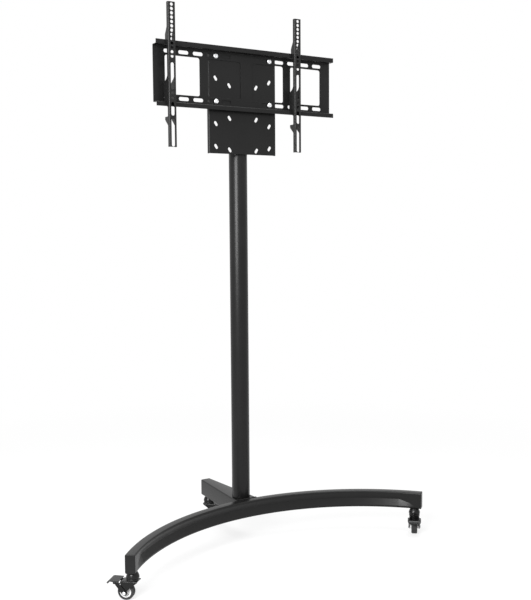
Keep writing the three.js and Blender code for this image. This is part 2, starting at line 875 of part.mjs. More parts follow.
// The room under the crown, open to the floor, the front and the rear.
function wheelRoom() {
  const { trail, fenderEnd } = fork;
  const reach = 3 * wheel.radius;
  return [
    at(-reach, -reach),
    at(trail + reach, -reach),
    at(trail + reach, axleHeight + reach * Math.tan(fenderEnd * degrees)),
    ...arcPoints(trail, axleHeight, fenderInner, fenderEnd, 90, bendSteps),
    at(-reach, crownUnder),
  ];
}

function casterFork() {
  const { radius, shoulder } = swivel;
  const hoodProfile = [
    [0, crownTop - fork.sheet / 2],
    [radius, crownTop - fork.sheet / 2],
    [radius, hoodTop - shoulder],
    [radius - shoulder / 2, hoodTop],
    [0, hoodTop],
  ];
  const legs = cut(
    prism("y", forkSide(), -forkOuter, forkOuter),
    prism("y", wheelRoom(), -forkInner, forkInner),
  );
  const stemBore = circle(0, 0, stem.radius + running, shaftSides);
  const axleBore = circle(fork.trail, axleHeight, axle.radius + running, shaftSides);
  return cut(
    join(legs, turned("z", hoodProfile, columnSides)),
    prism("z", stemBore, crownUnder - overrun, hoodTop + overrun),
    prism("y", axleBore, -forkOuter - overrun, forkOuter + overrun),
  );
}

// The axle along Y with a round head on one side and a nut face on the other.
function casterAxle() {
  const end = axleHalf + axle.headHeight;
  const profile = [
    [0, -end],
    [axle.headRadius, -end],
    [axle.headRadius, -axleHalf],
    [axle.radius, -axleHalf],
    [axle.radius, end],
    [0, end],
  ];
  const nut = prism("y", circle(0, 0, axle.across / 2, 6), axleHalf, end);
  return join(turned("y", profile, shaftSides), nut).translate(fork.trail, 0, axleHeight);
}

// The wheel's core along Y: a hub, a dished web and a rim.
function wheelCore() {
  const bore = axle.radius + running;
  const rim = wheel.radius - wheel.tyreDepth - seat;
  const rimInner = rim - wheel.rimDepth;
  const half = wheel.coreWidth / 2;
  const web = half - wheel.dish;
  const hub = forkInner - seat;
  const profile = [
    [bore, -hub],
    [wheel.hubRadius, -hub],
    [wheel.hubRadius, -web],
    [rimInner, -web],
    [rimInner, -half],
    [rim, -half],
    [rim, half],
    [rimInner, half],
    [rimInner, web],
    [wheel.hubRadius, web],
    [wheel.hubRadius, hub],
    [bore, hub],
    [bore, -hub],
  ];
  return turned("y", profile, wheelSides).translate(fork.trail, 0, axleHeight);
}

function wheelTyre() {
  const inner = wheel.radius - wheel.tyreDepth;
  const half = wheel.width / 2;
  const shoulder = wheel.radius - wheel.edgeRound;
  const profile = [
    [inner, -half + wheel.tyreLip],
    [shoulder, -half],
    [wheel.radius, -half + wheel.edgeRound],
    [wheel.radius, half - wheel.edgeRound],
    [shoulder, half],
    [inner, half - wheel.tyreLip],
    [inner, -half + wheel.tyreLip],
  ];
  return turned("y", profile, wheelSides).translate(fork.trail, 0, axleHeight);
}

// The pedal's tread is level with the fork's crown and starts in front of it.
const treadUnder = crownTop - tread.sheet;

// The tread in (x, z): a flat plate whose nose bends down.
function brakePedal() {
  const { sheet, halfWidth, nose, bend } = tread;
  const rear = fork.trail + tread.rearReach;
  const tip = fork.trail + tread.reach;
  const side = rounded([
    [rear, treadUnder],
    [tip - sheet, treadUnder, bend - sheet],
    [tip - sheet, crownTop - nose],
    [tip, crownTop - nose],
    [tip, crownTop, bend],
    [rear, crownTop],
  ]);
  return prism("y", side, -halfWidth, halfWidth);
}

// The web under the tread in (x, z), with a window, a post, and a bar that reaches for the tyre.
function shoeParts(top) {
  const { wall, window, windowHeight, post, topBar, bottomBar, tip, pinWidth, pinDrop } = shoe;
  const front = fork.trail + lever.plateReach;
  const postFront = front - wall - window;
  const rear = postFront - post;
  const windowTop = top - topBar;
  const windowFoot = windowTop - windowHeight;
  const bottom = windowFoot - bottomBar;
  return [
    rectangle(rear, windowTop, front, top),
    rectangle(front - wall, bottom, front, top),
    rectangle(rear, bottom, postFront, top),
    rectangle(rear - tip, bottom, front, windowFoot),
    rectangle(postFront - pinWidth, bottom - pinDrop, postFront, windowFoot),
  ];
}

// The lever: two arms on the axle, a plate under the tread, and the brake shoe's web in the middle.
function brakeLever() {
  const { sheet, rearReach, armRoot, armFoot, bossRadius, plateReach } = lever;
  const top = treadUnder - seat;
  const rear = fork.trail + rearReach;
  const armSide = [
    at(rear, top),
    at(fork.trail - armFoot, axleHeight + armFoot / 2),
    at(fork.trail + armFoot, axleHeight - armFoot / 2),
    at(rear + armRoot, top - sheet),
    at(rear + armRoot, top),
  ];
  const boss = circle(fork.trail, axleHeight, bossRadius, shaftSides);
  const arms = [-leverOuter, leverInner].flatMap((low) => [
    prism("y", armSide, low, low + sheet),
    prism("y", boss, low, low + sheet),
  ]);
  const plateSide = rectangle(rear, top - sheet, fork.trail + plateReach, top);
  const web = shoeParts(top).map((outline) => prism("y", outline, -shoe.width / 2, shoe.width / 2));
  const bore = circle(fork.trail, axleHeight, axle.radius + running, shaftSides);
  return cut(
    join(prism("y", plateSide, -leverOuter, leverOuter), ...arms, ...web),
    prism("y", bore, -leverOuter - overrun, leverOuter + overrun),
  );
}

// One caster under a point of the base, turned so that its wheel trails along the heading.
function caster(side, x, y, heading, wall) {
  const group = new THREE.Group();
  const nutUnder = base.under + wall + seat;
  const nut = nutSolid("z", 0, 0, nutUnder, nutUnder + stemNut.height, stemNut.across, stem.radius);
  group.add(
    meshOf(`${side}_stem`, casterStem(), brightZinc()),
    meshOf(`${side}_tube_nut`, nut, brightZinc()),
    meshOf(`${side}_swivel_race`, swivelRace(), powderCoat()),
    meshOf(`${side}_fork`, casterFork(), powderCoat()),
    meshOf(`${side}_axle`, casterAxle(), brightZinc()),
    meshOf(`${side}_wheel_core`, wheelCore(), palePlastic()),
    meshOf(`${side}_tyre`, wheelTyre(), tyreRubber()),
    meshOf(`${side}_brake_pedal`, brakePedal(), brightZinc()),
    meshOf(`${side}_brake_lever`, brakeLever(), blackPlastic()),
  );
  group.position.set(x, y, 0);
  group.rotation.z = heading * degrees;
  return group;
}

const leftStem = arcStemPlace(-1);
const rightStem = arcStemPlace(1);
const leftHeading = 135.4;
const rightHeading = -131.3;
const rearHeading = -45;

// Assembly

const stand = new THREE.Group();
stand.add(
  arcTube(),
  arcCap("arc_end_cap_left", -1),
  arcCap("arc_end_cap_right", 1),
  rearLeg(),
  rearLegCap(),
  footPlug(),
  footBolt("foot_bolt_front", footBoltYs[0]),
  footBolt("foot_bolt_rear", footBoltYs[1]),
  columnTube(),
  mastBushing(),
  mastTube(),
  mastBolt("upper"),
  mastBolt("lower"),
  mastTopCap(),
  saddleChannel(),
  ...saddleFasteners("upper"),
  ...saddleFasteners("lower"),
  headPlate(),
  wallPlate(),
  ...wallBoltPlaces.flatMap(wallFasteners),
  armMesh("left_arm", leftArmX),
  armMesh("right_arm", rightArmX),
  caster("left", leftStem.x, leftStem.y, leftHeading, arc.wall),
  caster("right", rightStem.x, rightStem.y, rightHeading, arc.wall),
  caster("rear", rearStem.x, rearStem.y, rearHeading, leg.wall),
);

// The origin is the middle of the whole stand on the floor.
const whole = new THREE.Group();
whole.add(stand);
whole.updateMatrixWorld(true);
const extent = new THREE.Box3().setFromObject(stand, true);
const middleOfAll = extent.getCenter(place(0, 0, 0));
stand.position.set(-middleOfAll.x, -middleOfAll.y, -extent.min.z);

export default whole;
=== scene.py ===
# %% [markdown]
# # Dressing a television stand
# A stand like this is bent sheet and rolled tube under a fine black powder coat, rolling on three
# braked casters. The CAD model fixes where everything is. This lesson gives each piece the skin that
# a maker would see: soft bends, pressed grooves, weld beads, plated screws and moulded wheels.
# The first lines load the CAD model as a frame that nothing here may move.

import bmesh
import bpy
import numpy as np
from mathutils import Matrix, Vector
from mathutils.geometry import tessellate_polygon


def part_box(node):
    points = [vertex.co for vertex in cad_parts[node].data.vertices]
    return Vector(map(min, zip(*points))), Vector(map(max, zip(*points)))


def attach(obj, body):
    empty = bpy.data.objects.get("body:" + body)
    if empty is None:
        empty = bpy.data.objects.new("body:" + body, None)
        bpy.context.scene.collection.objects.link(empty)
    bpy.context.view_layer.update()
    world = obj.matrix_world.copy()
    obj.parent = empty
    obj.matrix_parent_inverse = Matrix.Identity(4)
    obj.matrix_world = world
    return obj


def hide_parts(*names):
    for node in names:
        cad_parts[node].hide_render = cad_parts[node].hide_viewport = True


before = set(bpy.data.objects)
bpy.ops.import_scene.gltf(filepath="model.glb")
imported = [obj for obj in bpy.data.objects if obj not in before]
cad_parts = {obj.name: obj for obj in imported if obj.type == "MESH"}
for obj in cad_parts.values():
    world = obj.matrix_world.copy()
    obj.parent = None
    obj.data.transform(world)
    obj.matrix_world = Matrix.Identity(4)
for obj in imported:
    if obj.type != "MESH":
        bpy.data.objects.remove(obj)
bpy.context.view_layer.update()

# %% [markdown]
# The last cells compare the box of each new piece with the boxes of its CAD nodes, so that a new piece
# that sticks out would show.

# %% [markdown]
# A maker measures this stand from three plain faces: the middle of the column, the front of the head
# plate and the floor. All the sizes below are millimetres from there, and one origin turns them into
# the metres of the frame. The boxes of two CAD nodes give that origin, so nothing is fitted by eye.

# %% The stand's own zero point
column_low, column_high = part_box("column")
ORIGIN = np.array([(column_low.x + column_high.x) / 2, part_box("head_plate")[0].y, 0.0])
MM = 0.001
GAP = 0.3  # between pieces that touch


def to_frame(points):
    """Metres in the frame = origin + millimetres / 1000."""
    return ORIGIN + np.asarray(points, float) * MM


print("zero point in the frame:", ORIGIN.round(5))

# %% [markdown]
# The picture was taken from the left at about chest height with a short telephoto lens, looking
# slightly down. The camera is made from its own three directions: ahead, right and up. A small roll
# turns the last two about the first.

# %% Camera
CAMERA_PLACE = (-1507.5, -2536.6, 1046.7)
CAMERA_YAW, CAMERA_PITCH, CAMERA_ROLL = np.radians([32.057, 4.683, -0.393])
FOCAL_PIXELS, PHOTO_HEIGHT = 900.5, 600
SENSOR = 36

camera_data = bpy.data.cameras.new("camera")
camera = bpy.data.objects.new("camera", camera_data)
bpy.context.scene.collection.objects.link(camera)
level_ahead = np.array([np.sin(CAMERA_YAW), np.cos(CAMERA_YAW), 0.0])
level_right = np.array([np.cos(CAMERA_YAW), -np.sin(CAMERA_YAW), 0.0])
ahead = level_ahead * np.cos(CAMERA_PITCH) - np.array([0.0, 0.0, np.sin(CAMERA_PITCH)])
level_up = np.cross(level_right, ahead)
right = level_right * np.cos(CAMERA_ROLL) + level_up * np.sin(CAMERA_ROLL)
up = level_up * np.cos(CAMERA_ROLL) - level_right * np.sin(CAMERA_ROLL)
turn = Matrix(np.stack([right, up, -ahead], axis=1).tolist()).to_4x4()
camera.matrix_world = Matrix.Translation(to_frame(CAMERA_PLACE).tolist()) @ turn
camera_data.sensor_width = SENSOR
camera_data.lens = FOCAL_PIXELS * SENSOR / PHOTO_HEIGHT
bpy.context.scene.camera = camera
print("lens:", round(camera_data.lens, 2), "mm, camera at", [round(v, 3) for v in camera.location])

# %% [markdown]
# ## Three ways to make a surface
# A pressed or rolled piece is a surface over two parameters. As a grid of points it is worked out in
# one go: rows along the piece, columns across it. Four neighbours make a face.
# A sheet with slots can't be one grid, so its flat part is an outline with holes, filled with
# triangles. Bends join such flats as small grids. Points that two patches share are merged.

# %% Patches of points and faces


def spread(*coordinates):
    """Points from coordinates side by side, each spread to the shape that all of them share."""
    return np.stack(np.broadcast_arrays(*coordinates), axis=-1)


def grid(points, wrap_rows=False, wrap_columns=False):
    """Face (i, j) joins points (i, j), (i+1, j), (i+1, j+1) and (i, j+1); a wrap joins last to first."""
    rows, columns = points.shape[:2]
    number = np.arange(rows * columns).reshape(rows, columns)
    if wrap_rows:
        number = np.concatenate([number, number[:1]])
    if wrap_columns:
        number = np.concatenate([number, number[:, :1]], axis=1)
    corners = [number[:-1, :-1], number[1:, :-1], number[1:, 1:], number[:-1, 1:]]
    return points.reshape(-1, 3), np.stack(corners, axis=-1).reshape(-1, 4)


def filled(outlines, place):
    """The first outline is filled up to the other ones; place(a, b) sets a flat point in space."""
    loops = [[Vector((a, b, 0)) for a, b in outline] for outline in outlines]
    flat = np.concatenate([np.asarray(outline, float) for outline in outlines])
    return place(*flat.T), np.array(tessellate_polygon(loops))


def strip(path, place, start, end, closed=False):
    """A path of (a, b) points pulled straight from start to end; place(a, b, c) sets a point."""
    ends = np.array([[start], [end]], float)
    return grid(place(*np.asarray(path, float).T, ends), wrap_columns=closed)


def slab(outlines, place, low, high):
    """A flat outline with holes at two levels c, joined by walls; place(a, b, c) sets a point."""
    flats = [filled(outlines, lambda a, b, c=c: place(a, b, c)) for c in (low, high)]
    return flats + [strip(outline, place, low, high, closed=True) for outline in outlines]


square_slab = slab([[(0, 0), (1, 0), (1, 1), (0, 1)]], spread, 0, 1)
print("faces of a slab with four corners:", sum(len(faces) for _, faces in square_slab))

# %% [markdown]
# Folded sheet has no sharp corners, so one function rounds the corners of any outline. It uses the
# rational curve that is an exact circle at every angle, and it also works where a corner is straight.

# %% Outlines


def rounded(corners, radii, steps=6):
    """With directions a and b to the neighbours, half their angle h and arc ends S = C + a r / tan h
    and E = C + b r / tan h, the point at t is the mean of S, C and E with the weights
    (1-t)^2, 2 t (1-t) sin h and t^2."""
    corners = np.asarray(corners, float)
    radii = np.broadcast_to(np.asarray(radii, float), corners.shape[:-1])[..., None]
    back = np.roll(corners, 1, axis=-2) - corners
    forward = np.roll(corners, -1, axis=-2) - corners
    back /= np.linalg.norm(back, axis=-1, keepdims=True)
    forward /= np.linalg.norm(forward, axis=-1, keepdims=True)
    half = np.arccos(np.clip(np.sum(back * forward, axis=-1, keepdims=True), -1, 1)) / 2
    reach = radii / np.tan(half)
    start, end = corners + back * reach, corners + forward * reach
    t = np.linspace(0, 1, steps + 1)[:, None]
    weights = [(1 - t) ** 2, 2 * t * (1 - t) * np.sin(half)[..., None, :], t**2]
    ends = [start[..., None, :], corners[..., None, :], end[..., None, :]]
    arcs = sum(w * p for w, p in zip(weights, ends)) / sum(weights)
    return arcs.reshape(*corners.shape[:-2], -1, 2)


def open_path(corners, radius, steps=6):
    """A line through corners that rounds all but its two ends."""
    radii = np.full(len(corners), float(radius))
    radii[[0, -1]] = 0
    path = rounded(corners, radii, steps)
    return path[steps : len(path) - steps]


def rectangle(low_a, low_b, high_a, high_b):
    """Its four corners, counted round."""
    return np.array([(low_a, low_b), (high_a, low_b), (high_a, high_b), (low_a, high_b)], float)


def arc_line(a, b, radius, start, end, steps):
    """Points at angle from start to end, in degrees: (a + r cos angle, b + r sin angle)."""
    angle = np.radians(np.linspace(start, end, steps + 1))
    return spread(a + radius * np.cos(angle), b + radius * np.sin(angle))


def hole(a, b, radius, sides=24):
    """A circle whose last point doesn't repeat the first."""
    return arc_line(a, b, radius, 0, 360, sides)[:-1]


def slot(a, b, length, width, lean, steps=10):
    """Two half circles, each (length - width) / 2 from the middle along the lean from upright."""
    half = (length - width) / 2
    da, db = half * np.sin(np.radians(lean)), half * np.cos(np.radians(lean))
    upper = arc_line(a + da, b + db, width / 2, -lean, 180 - lean, steps)
    lower = arc_line(a - da, b - db, width / 2, 180 - lean, 360 - lean, steps)
    return np.concatenate([upper, lower])


def full_turn(steps):
    """Equal angles once round, without the first one again at the end."""
    return np.linspace(0, 2 * np.pi, steps, endpoint=False)


def turned(profile, sides, closed=False):
    """A profile of (radius, height) turned about the height: (r cos v, r sin v, h)."""
    radius, height = np.asarray(profile, float).T[:, :, None]
    angle = full_turn(sides)
    return grid(spread(radius * np.cos(angle), radius * np.sin(angle), height), closed, True)


print("points of a round hole:", len(hole(0, 0, 1)), "and of a slot:", len(slot(0, 0, 2, 1, 0)))

# %% [markdown]
# ## Finishes
# A shader graph is easier to read as arithmetic. `Wire` wraps a socket, so `0.4 + 0.1 * grain` adds
# two Math nodes, and `Finish.node` is the only place that makes a node. Plain numbers go straight to
# the shader's own sockets. Patterns read Object coordinates, which are metres in the frame here,
# because every piece keeps its object at the origin.

# %% Wires and nodes


class Wire:
    """A socket that adds and multiplies, or takes the larger value, by making Math nodes."""

    def __init__(self, finish, socket):
        self.finish = finish
        self.socket = socket

    def math(self, operation, other):
        return self.finish.node("ShaderNodeMath", {"operation": operation}, {0: self, 1: other})

    def __add__(self, other):
        return self.math("ADD", other)

    def __mul__(self, other):
        return self.math("MULTIPLY", other)

    def larger(self, other):
        return self.math("MAXIMUM", other)

    __radd__ = __add__
    __rmul__ = __mul__


class Finish:
    """A material, or the world's light, whose nodes all come from one method."""

    def __init__(self, name, kind="materials"):
        self.holder = getattr(bpy.data, kind).new(name)
        self.holder.use_nodes = True
        self.tree = self.holder.node_tree
        self.tree.nodes.clear()

    def node(self, kind, settings=None, inputs=None, output=None):
        """Makes a node, sets its settings, then its sockets, and returns one output as a wire."""
        made = self.tree.nodes.new(kind)
        for key, value in (settings or {}).items():
            setattr(made, key, value)
        for key, value in (inputs or {}).items():
            socket = self.pick(made.inputs, key)
            if isinstance(value, Wire):
                self.tree.links.new(value.socket, socket)
            else:
                socket.default_value = value
        return Wire(self, self.pick(made.outputs, output)) if made.outputs else None

    @staticmethod
    def pick(sockets, key):
        """The socket with that number or name among those that the node's settings switch on."""
        live = [socket for socket in sockets if socket.enabled]
        if isinstance(key, str):
            return next(socket for socket in live if socket.name == key)
        return live[key or 0]

    def ray(self, name):
        """1 for a ray of that kind and 0 for any other."""
        return self.node("ShaderNodeLightPath", output=name)

    def place(self, stretch=None):
        """Object coordinates, multiplied by a stretch if there is one."""
        here = self.node("ShaderNodeTexCoord", output="Object")
        if stretch is None:
            return here
        return self.node("ShaderNodeMapping", inputs={"Vector": here, "Scale": stretch})

    def noise(self, feature, detail=2, stretch=None):
        """Noise whose lumps are about one feature wide, in metres."""
        inputs = {"Vector": self.place(stretch), "Scale": 1 / feature, "Detail": detail}
        return self.node("ShaderNodeTexNoise", inputs=inputs, output="Fac")

    def step(self, value, low, high):
        """0 below low, 1 above high, and a straight rise between them."""
        made = self.node("ShaderNodeValToRGB", inputs={"Fac": value}, output="Color")
        for element, position in zip(made.socket.node.color_ramp.elements, (low, high)):
            element.position = position
        return made

    def mix(self, amount, first, second):
        """first * (1 - amount) + second * amount; a plain number is a shade of grey."""
        inputs = {"Factor": amount}
        for key, value in (("A", first), ("B", second)):
            inputs[key] = value if isinstance(value, Wire) else (*np.full(3, value), 1)
        return self.node("ShaderNodeMix", {"data_type": "RGBA"}, inputs, "Result")

    def bump(self, height, depth, below=None):
        """The normal over a height of one unit = depth metres."""
        inputs = {"Height": height, "Distance": depth, "Strength": 1.0}
        if below is not None:
            inputs["Normal"] = below
        return self.node("ShaderNodeBump", inputs=inputs, output="Normal")

    def end(self, kind, surface):
        """Ends the graph in the output node of its kind."""
        self.node(kind, inputs={"Surface": surface})
        return self.holder

    def shine(self, **sockets):
        """Ends the material in one Principled shader; names use _ for a space."""
        inputs = {name.replace("_", " "): value for name, value in sockets.items()}
        return self.end("ShaderNodeOutputMaterial", self.node("ShaderNodeBsdfPrincipled", inputs=inputs))


# %% [markdown]
# Powder coat is sprayed on as dust and baked. It melts into a skin that is never quite flat: ripples
# of a millimetre or two, and fine grit on top. In the light it is a soft sheen, not a mirror. The
# colour drifts a little between thick and thin places, and dust lightens it in faint clouds.

# %% Powder coats
CLOUD, RIPPLE, SPECK, GRIT = 0.12, 0.0022, 0.0011, 0.0006  # metres across
RIPPLE_DEPTH, GRIT_DEPTH = 0.00006, 0.00004  # metres
SPECK_FROM, SPECK_TO = 0.62, 0.72
SPECK_SHARE, SPECK_SHADE_SHARE = 0.35, 1.6


def powder_coat(name, dark, light, roughness, specular):
    """Colour = dark to light by slow clouds; height = ripples + grit; roughness rises in the clouds."""
    finish = Finish(name)
    clouds = finish.noise(CLOUD, detail=4)
    grit = finish.noise(GRIT, detail=1)
    ripples = finish.noise(RIPPLE, detail=1)
    specks = finish.step(finish.noise(SPECK, detail=0), SPECK_FROM, SPECK_TO)
    colour = finish.mix(clouds, dark, light)
    return finish.shine(
        Base_Color=finish.mix(SPECK_SHARE * specks, colour, SPECK_SHADE_SHARE * light),
        Roughness=roughness - 0.05 + 0.1 * clouds + 0.05 * grit,
        Normal=finish.bump(grit, GRIT_DEPTH, below=finish.bump(ripples, RIPPLE_DEPTH)),
        Specular_IOR_Level=specular,
    )


COAT = powder_coat("black_powder_coat", dark=0.005, light=0.009, roughness=0.28, specular=0.2)
ARM_COAT = powder_coat("arm_powder_coat", dark=0.007, light=0.011, roughness=0.28, specular=0.22)
CASTER_BLACK = powder_coat("caster_black_paint", dark=0.003, light=0.006, roughness=0.2, specular=0.25)
print("coats:", COAT.name, ARM_COAT.name, CASTER_BLACK.name)

# %% [markdown]
# The end caps are moulded in black polyethylene, with the fine spark-eroded grain of the mould. The
# wheel core is pale nylon, slightly cloudy. Both are one recipe: the mould's grain is a field of
# cells, and a slow drift in the shade and the roughness shows how the melt flowed.

# %% Moulded plastic
FLOW = 0.02  # metres across
GRAIN_DEPTH_SHARE = 0.04


def moulded_plastic(name, shade, grain, specular=0.5):
    """Height = cells of the mould's grain; colour and roughness drift with the flow."""
    finish = Finish(name)
    inputs = {"Vector": finish.place(), "Scale": 1 / grain}
    cells = finish.node("ShaderNodeTexVoronoi", inputs=inputs, output="Distance")
    flow = finish.noise(FLOW, detail=3)
    return finish.shine(
        Base_Color=finish.mix(flow, 0.85 * shade, 1.15 * shade),
        Roughness=0.34 + 0.12 * flow,
        Normal=finish.bump(cells, grain * GRAIN_DEPTH_SHARE),
        Specular_IOR_Level=specular,
    )


CAP_PLASTIC = moulded_plastic("black_cap_plastic", shade=0.006, grain=0.0007, specular=0.25)
WHEEL_PLASTIC = moulded_plastic("pale_wheel_plastic", shade=0.62, grain=0.0009)
print("plastics:", CAP_PLASTIC.name, WHEEL_PLASTIC.name)

# %% [markdown]
# Zinc plating is bright but not polished: the wire it covers was drawn and rolled, so it carries
# faint streaks and patches where the passivation took differently. The pedals' treads are pressed
# steel under a dark and glossier plating, so they share the recipe with other numbers.

# %% Plated metal
PATCH, STREAK = 0.006, 0.0008  # metres across
STREAK_DEPTH = 0.000015  # metres


def plated(name, shade, roughness, stretch):
    """Metal whose roughness and colour vary in patches and in streaks along one direction."""
    finish = Finish(name)
    patches = finish.noise(PATCH, detail=3)
    streaks = finish.noise(STREAK, detail=2, stretch=stretch)
    bluish = shade * np.array([0.86, 0.88, 0.9])
    return finish.shine(
        Base_Color=finish.mix(patches, shade, bluish),
        Metallic=1.0,
        Roughness=roughness - 0.06 + 0.12 * patches + 0.06 * streaks,
        Normal=finish.bump(streaks, STREAK_DEPTH),
    )


ZINC = plated("bright_zinc", shade=0.86, roughness=0.38, stretch=(1, 1, 0.15))
PEDAL_STEEL = plated("pedal_plating", shade=0.035, roughness=0.24, stretch=(1, 0.12, 1))
print("plated:", ZINC.name, PEDAL_STEEL.name)

# %% [markdown]
# The tyre is soft grey-black rubber that picks up floor dust in its pores, so it is matt with faint
# pale specks. A noise that passes a threshold says where the dust lies.

# %% Rubber
DUST, PORE = 0.004, 0.0005  # metres across
PORE_DEPTH = 0.00006  # metres
CLEAN_RUBBER, DUSTY_RUBBER = (0.012, 0.012, 0.013), (0.05, 0.048, 0.045)


def tyre_rubber():
    """Dark rubber, lightened where the dust noise passes a threshold."""
    finish = Finish("dusty_tyre_rubber")
    dust = finish.step(finish.noise(DUST, detail=4), 0.5, 0.75)
    return finish.shine(
        Base_Color=finish.mix(0.6 * dust, CLEAN_RUBBER, DUSTY_RUBBER),
        Roughness=0.7 + 0.2 * dust,
        Normal=finish.bump(finish.noise(PORE), PORE_DEPTH),
    )


RUBBER = tyre_rubber()
print("rubber:", RUBBER.name)

# %% [markdown]
# A slot names what a piece is made of, and eight of them cover the stand. Whoever wants another finish
# changes it in one place here, and all pieces of that slot follow.

# %% Finish of each slot
SLOT_FINISH = {
    "powder_coat": COAT,
    "arm_coat": ARM_COAT,
    "cap_plastic": CAP_PLASTIC,
    "zinc": ZINC,
    "pedal_steel": PEDAL_STEEL,
    "caster_black": CASTER_BLACK,
    "wheel_plastic": WHEEL_PLASTIC,
    "tyre_rubber": RUBBER,
}
print("slots:", len(SLOT_FINISH))

# %% [markdown]
# ## From patches to a piece
# Every new piece is made in one place. Its patches are merged where they meet, its faces turned
# outwards, and its smooth and sharp edges told apart by angle. A folded sheet is drawn as its middle
# surface: Solidify gives it thickness, Bevel takes the burr off its edges, and Weighted Normal keeps
# the big flats flat. The piece rides on a body and stands for its CAD nodes.

# %% The piece maker
MERGE, SLIVER = 2e-6, 1e-7  # metres
MADE = {}


def merged_mesh(name, patches, sharp):
    """One mesh from patches in millimetres, with closed seams and faces that point outwards."""
    starts = np.cumsum([0] + [len(points) for points, _ in patches])
    points = to_frame(np.concatenate([points for points, _ in patches]))
    faces = [face for start, (_, part) in zip(starts, patches) for face in (part + start).tolist()]
    mesh = bpy.data.meshes.new(name)
    mesh.from_pydata(points.tolist(), [], faces)
    draft = bmesh.new()
    draft.from_mesh(mesh)
    bmesh.ops.remove_doubles(draft, verts=draft.verts, dist=MERGE)
    bmesh.ops.dissolve_degenerate(draft, edges=draft.edges, dist=SLIVER)
    bmesh.ops.recalc_face_normals(draft, faces=draft.faces)
    draft.to_mesh(mesh)
    draft.free()
    mesh.shade_smooth()
    mesh.set_sharp_from_angle(angle=sharp)
    return mesh


def make_piece(name, patches, body, slot_name, replaces=(), sheet=0.0, burr=0.0, sharp=40):
    """Patches in millimetres become one mesh object; sheet is a thickness and burr an edge radius."""
    sharp = np.radians(sharp)
    mesh = merged_mesh(name, patches, sharp)
    piece = bpy.data.objects.new(name, mesh)
    bpy.context.scene.collection.objects.link(piece)
    if sheet:
        thicken = piece.modifiers.new("sheet thickness", "SOLIDIFY")
        thicken.thickness = sheet * MM
        thicken.offset = 0
    if burr:
        soften = piece.modifiers.new("burr", "BEVEL")
        soften.width = burr * MM
        soften.segments = 2
        soften.angle_limit = sharp
        soften.use_clamp_overlap = False
        even = piece.modifiers.new("flat faces stay flat", "WEIGHTED_NORMAL")
        even.keep_sharp = not sheet
    mesh.materials.append(SLOT_FINISH[slot_name])
    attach(piece, body)
    if replaces:
        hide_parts(*replaces)
    MADE[name] = (piece, replaces)
    return piece


print("edges up to 40 degrees are shaded smooth, unless a piece says otherwise")

# %% [markdown]
# ## The base tube
# A rectangular tube is rolled to an arc, and its hollow side is pressed in to a long V that runs out
# in two flat facets before the ends, which stay plain for their caps. The section itself changes
# along the arc: each row is an outline whose V corner has its own depth. Extra rows stand where the
# facets begin and end, so that their edges stay crisp.

# %% Base tube
BASE_UNDER, BASE_TOP = 83.0, 138.0
BASE_MIDDLE, BASE_HEIGHT = (BASE_UNDER + BASE_TOP) / 2, BASE_TOP - BASE_UNDER
ARC_RADIUS, ARC_WIDTH, ARC_HALF = 712.0, 30.0, np.radians(50.2)
TUBE_WALL = 2.0
TUBE_CORNER, FOLD_CORNER, APEX_CORNER, LEAST_CORNER = 4.0, 2.5, 3.0, 0.3
COLUMN_Y, COLUMN_RADIUS = 35.0, 30.0
COLUMN_TO_ARC = 4.0
ARC_CENTRE_Y = COLUMN_Y - COLUMN_RADIUS - COLUMN_TO_ARC - ARC_RADIUS
GROOVE_DEPTH, PLAIN_END, GROOVE_FADE = 10.0, 21.0, 55.0
GROOVE_EDGE, APEX_SHARE = 7.0, 0.52
LEAST_SHARE = 0.06  # keeps the corner of the V apart from the edge below it where there is no groove
SINK_POWER = 0.6  # under 1, so the corner sinks mostly at the very end of the groove


def on_arc(turn, section):
    """A section point (radius r, height h) at a turn a stands at (r sin a, centre + r cos a, h)."""
    radius, height = section[..., 0], section[..., 1]
    return spread(radius * np.sin(turn), ARC_CENTRE_Y + radius * np.cos(turn), height)


def groove_depth(turn):
    """The depth grows in a straight line with the distance from the plain end, up to its full value."""
    share = np.clip(((ARC_HALF - np.abs(turn)) * ARC_RADIUS - PLAIN_END) / GROOVE_FADE, 0, 1)
    return GROOVE_DEPTH * share


def tube_section(inset, depth):
    """One outline for each depth, drawn in by the inset. The corner of the V stands above the V's lower
    edge by (depth / full depth)^0.6 of its full height there."""
    inset, depth = np.broadcast_arrays(np.asarray(inset, float), depth)
    outer, inner = ARC_RADIUS - inset, ARC_RADIUS - ARC_WIDTH + inset
    low, high = BASE_UNDER + inset, BASE_TOP - inset
    grown = np.maximum(depth / GROOVE_DEPTH, LEAST_SHARE) ** SINK_POWER
    apex = BASE_UNDER + GROOVE_EDGE + grown * (APEX_SHARE * BASE_HEIGHT - GROOVE_EDGE)
    corners = [
        (outer, low),
        (outer, high),
        (inner, high),
        (inner, BASE_TOP - GROOVE_EDGE),
        (inner + depth, apex),
        (inner, BASE_UNDER + GROOVE_EDGE),
        (inner, low),
    ]
    section = np.stack([spread(*corner) for corner in corners], axis=-2)
    tube_corner = np.maximum(TUBE_CORNER - inset, LEAST_CORNER)
    fold = [FOLD_CORNER, APEX_CORNER, FOLD_CORNER]
    return rounded(section, spread(*[tube_corner] * 3, *fold, tube_corner), steps=5)


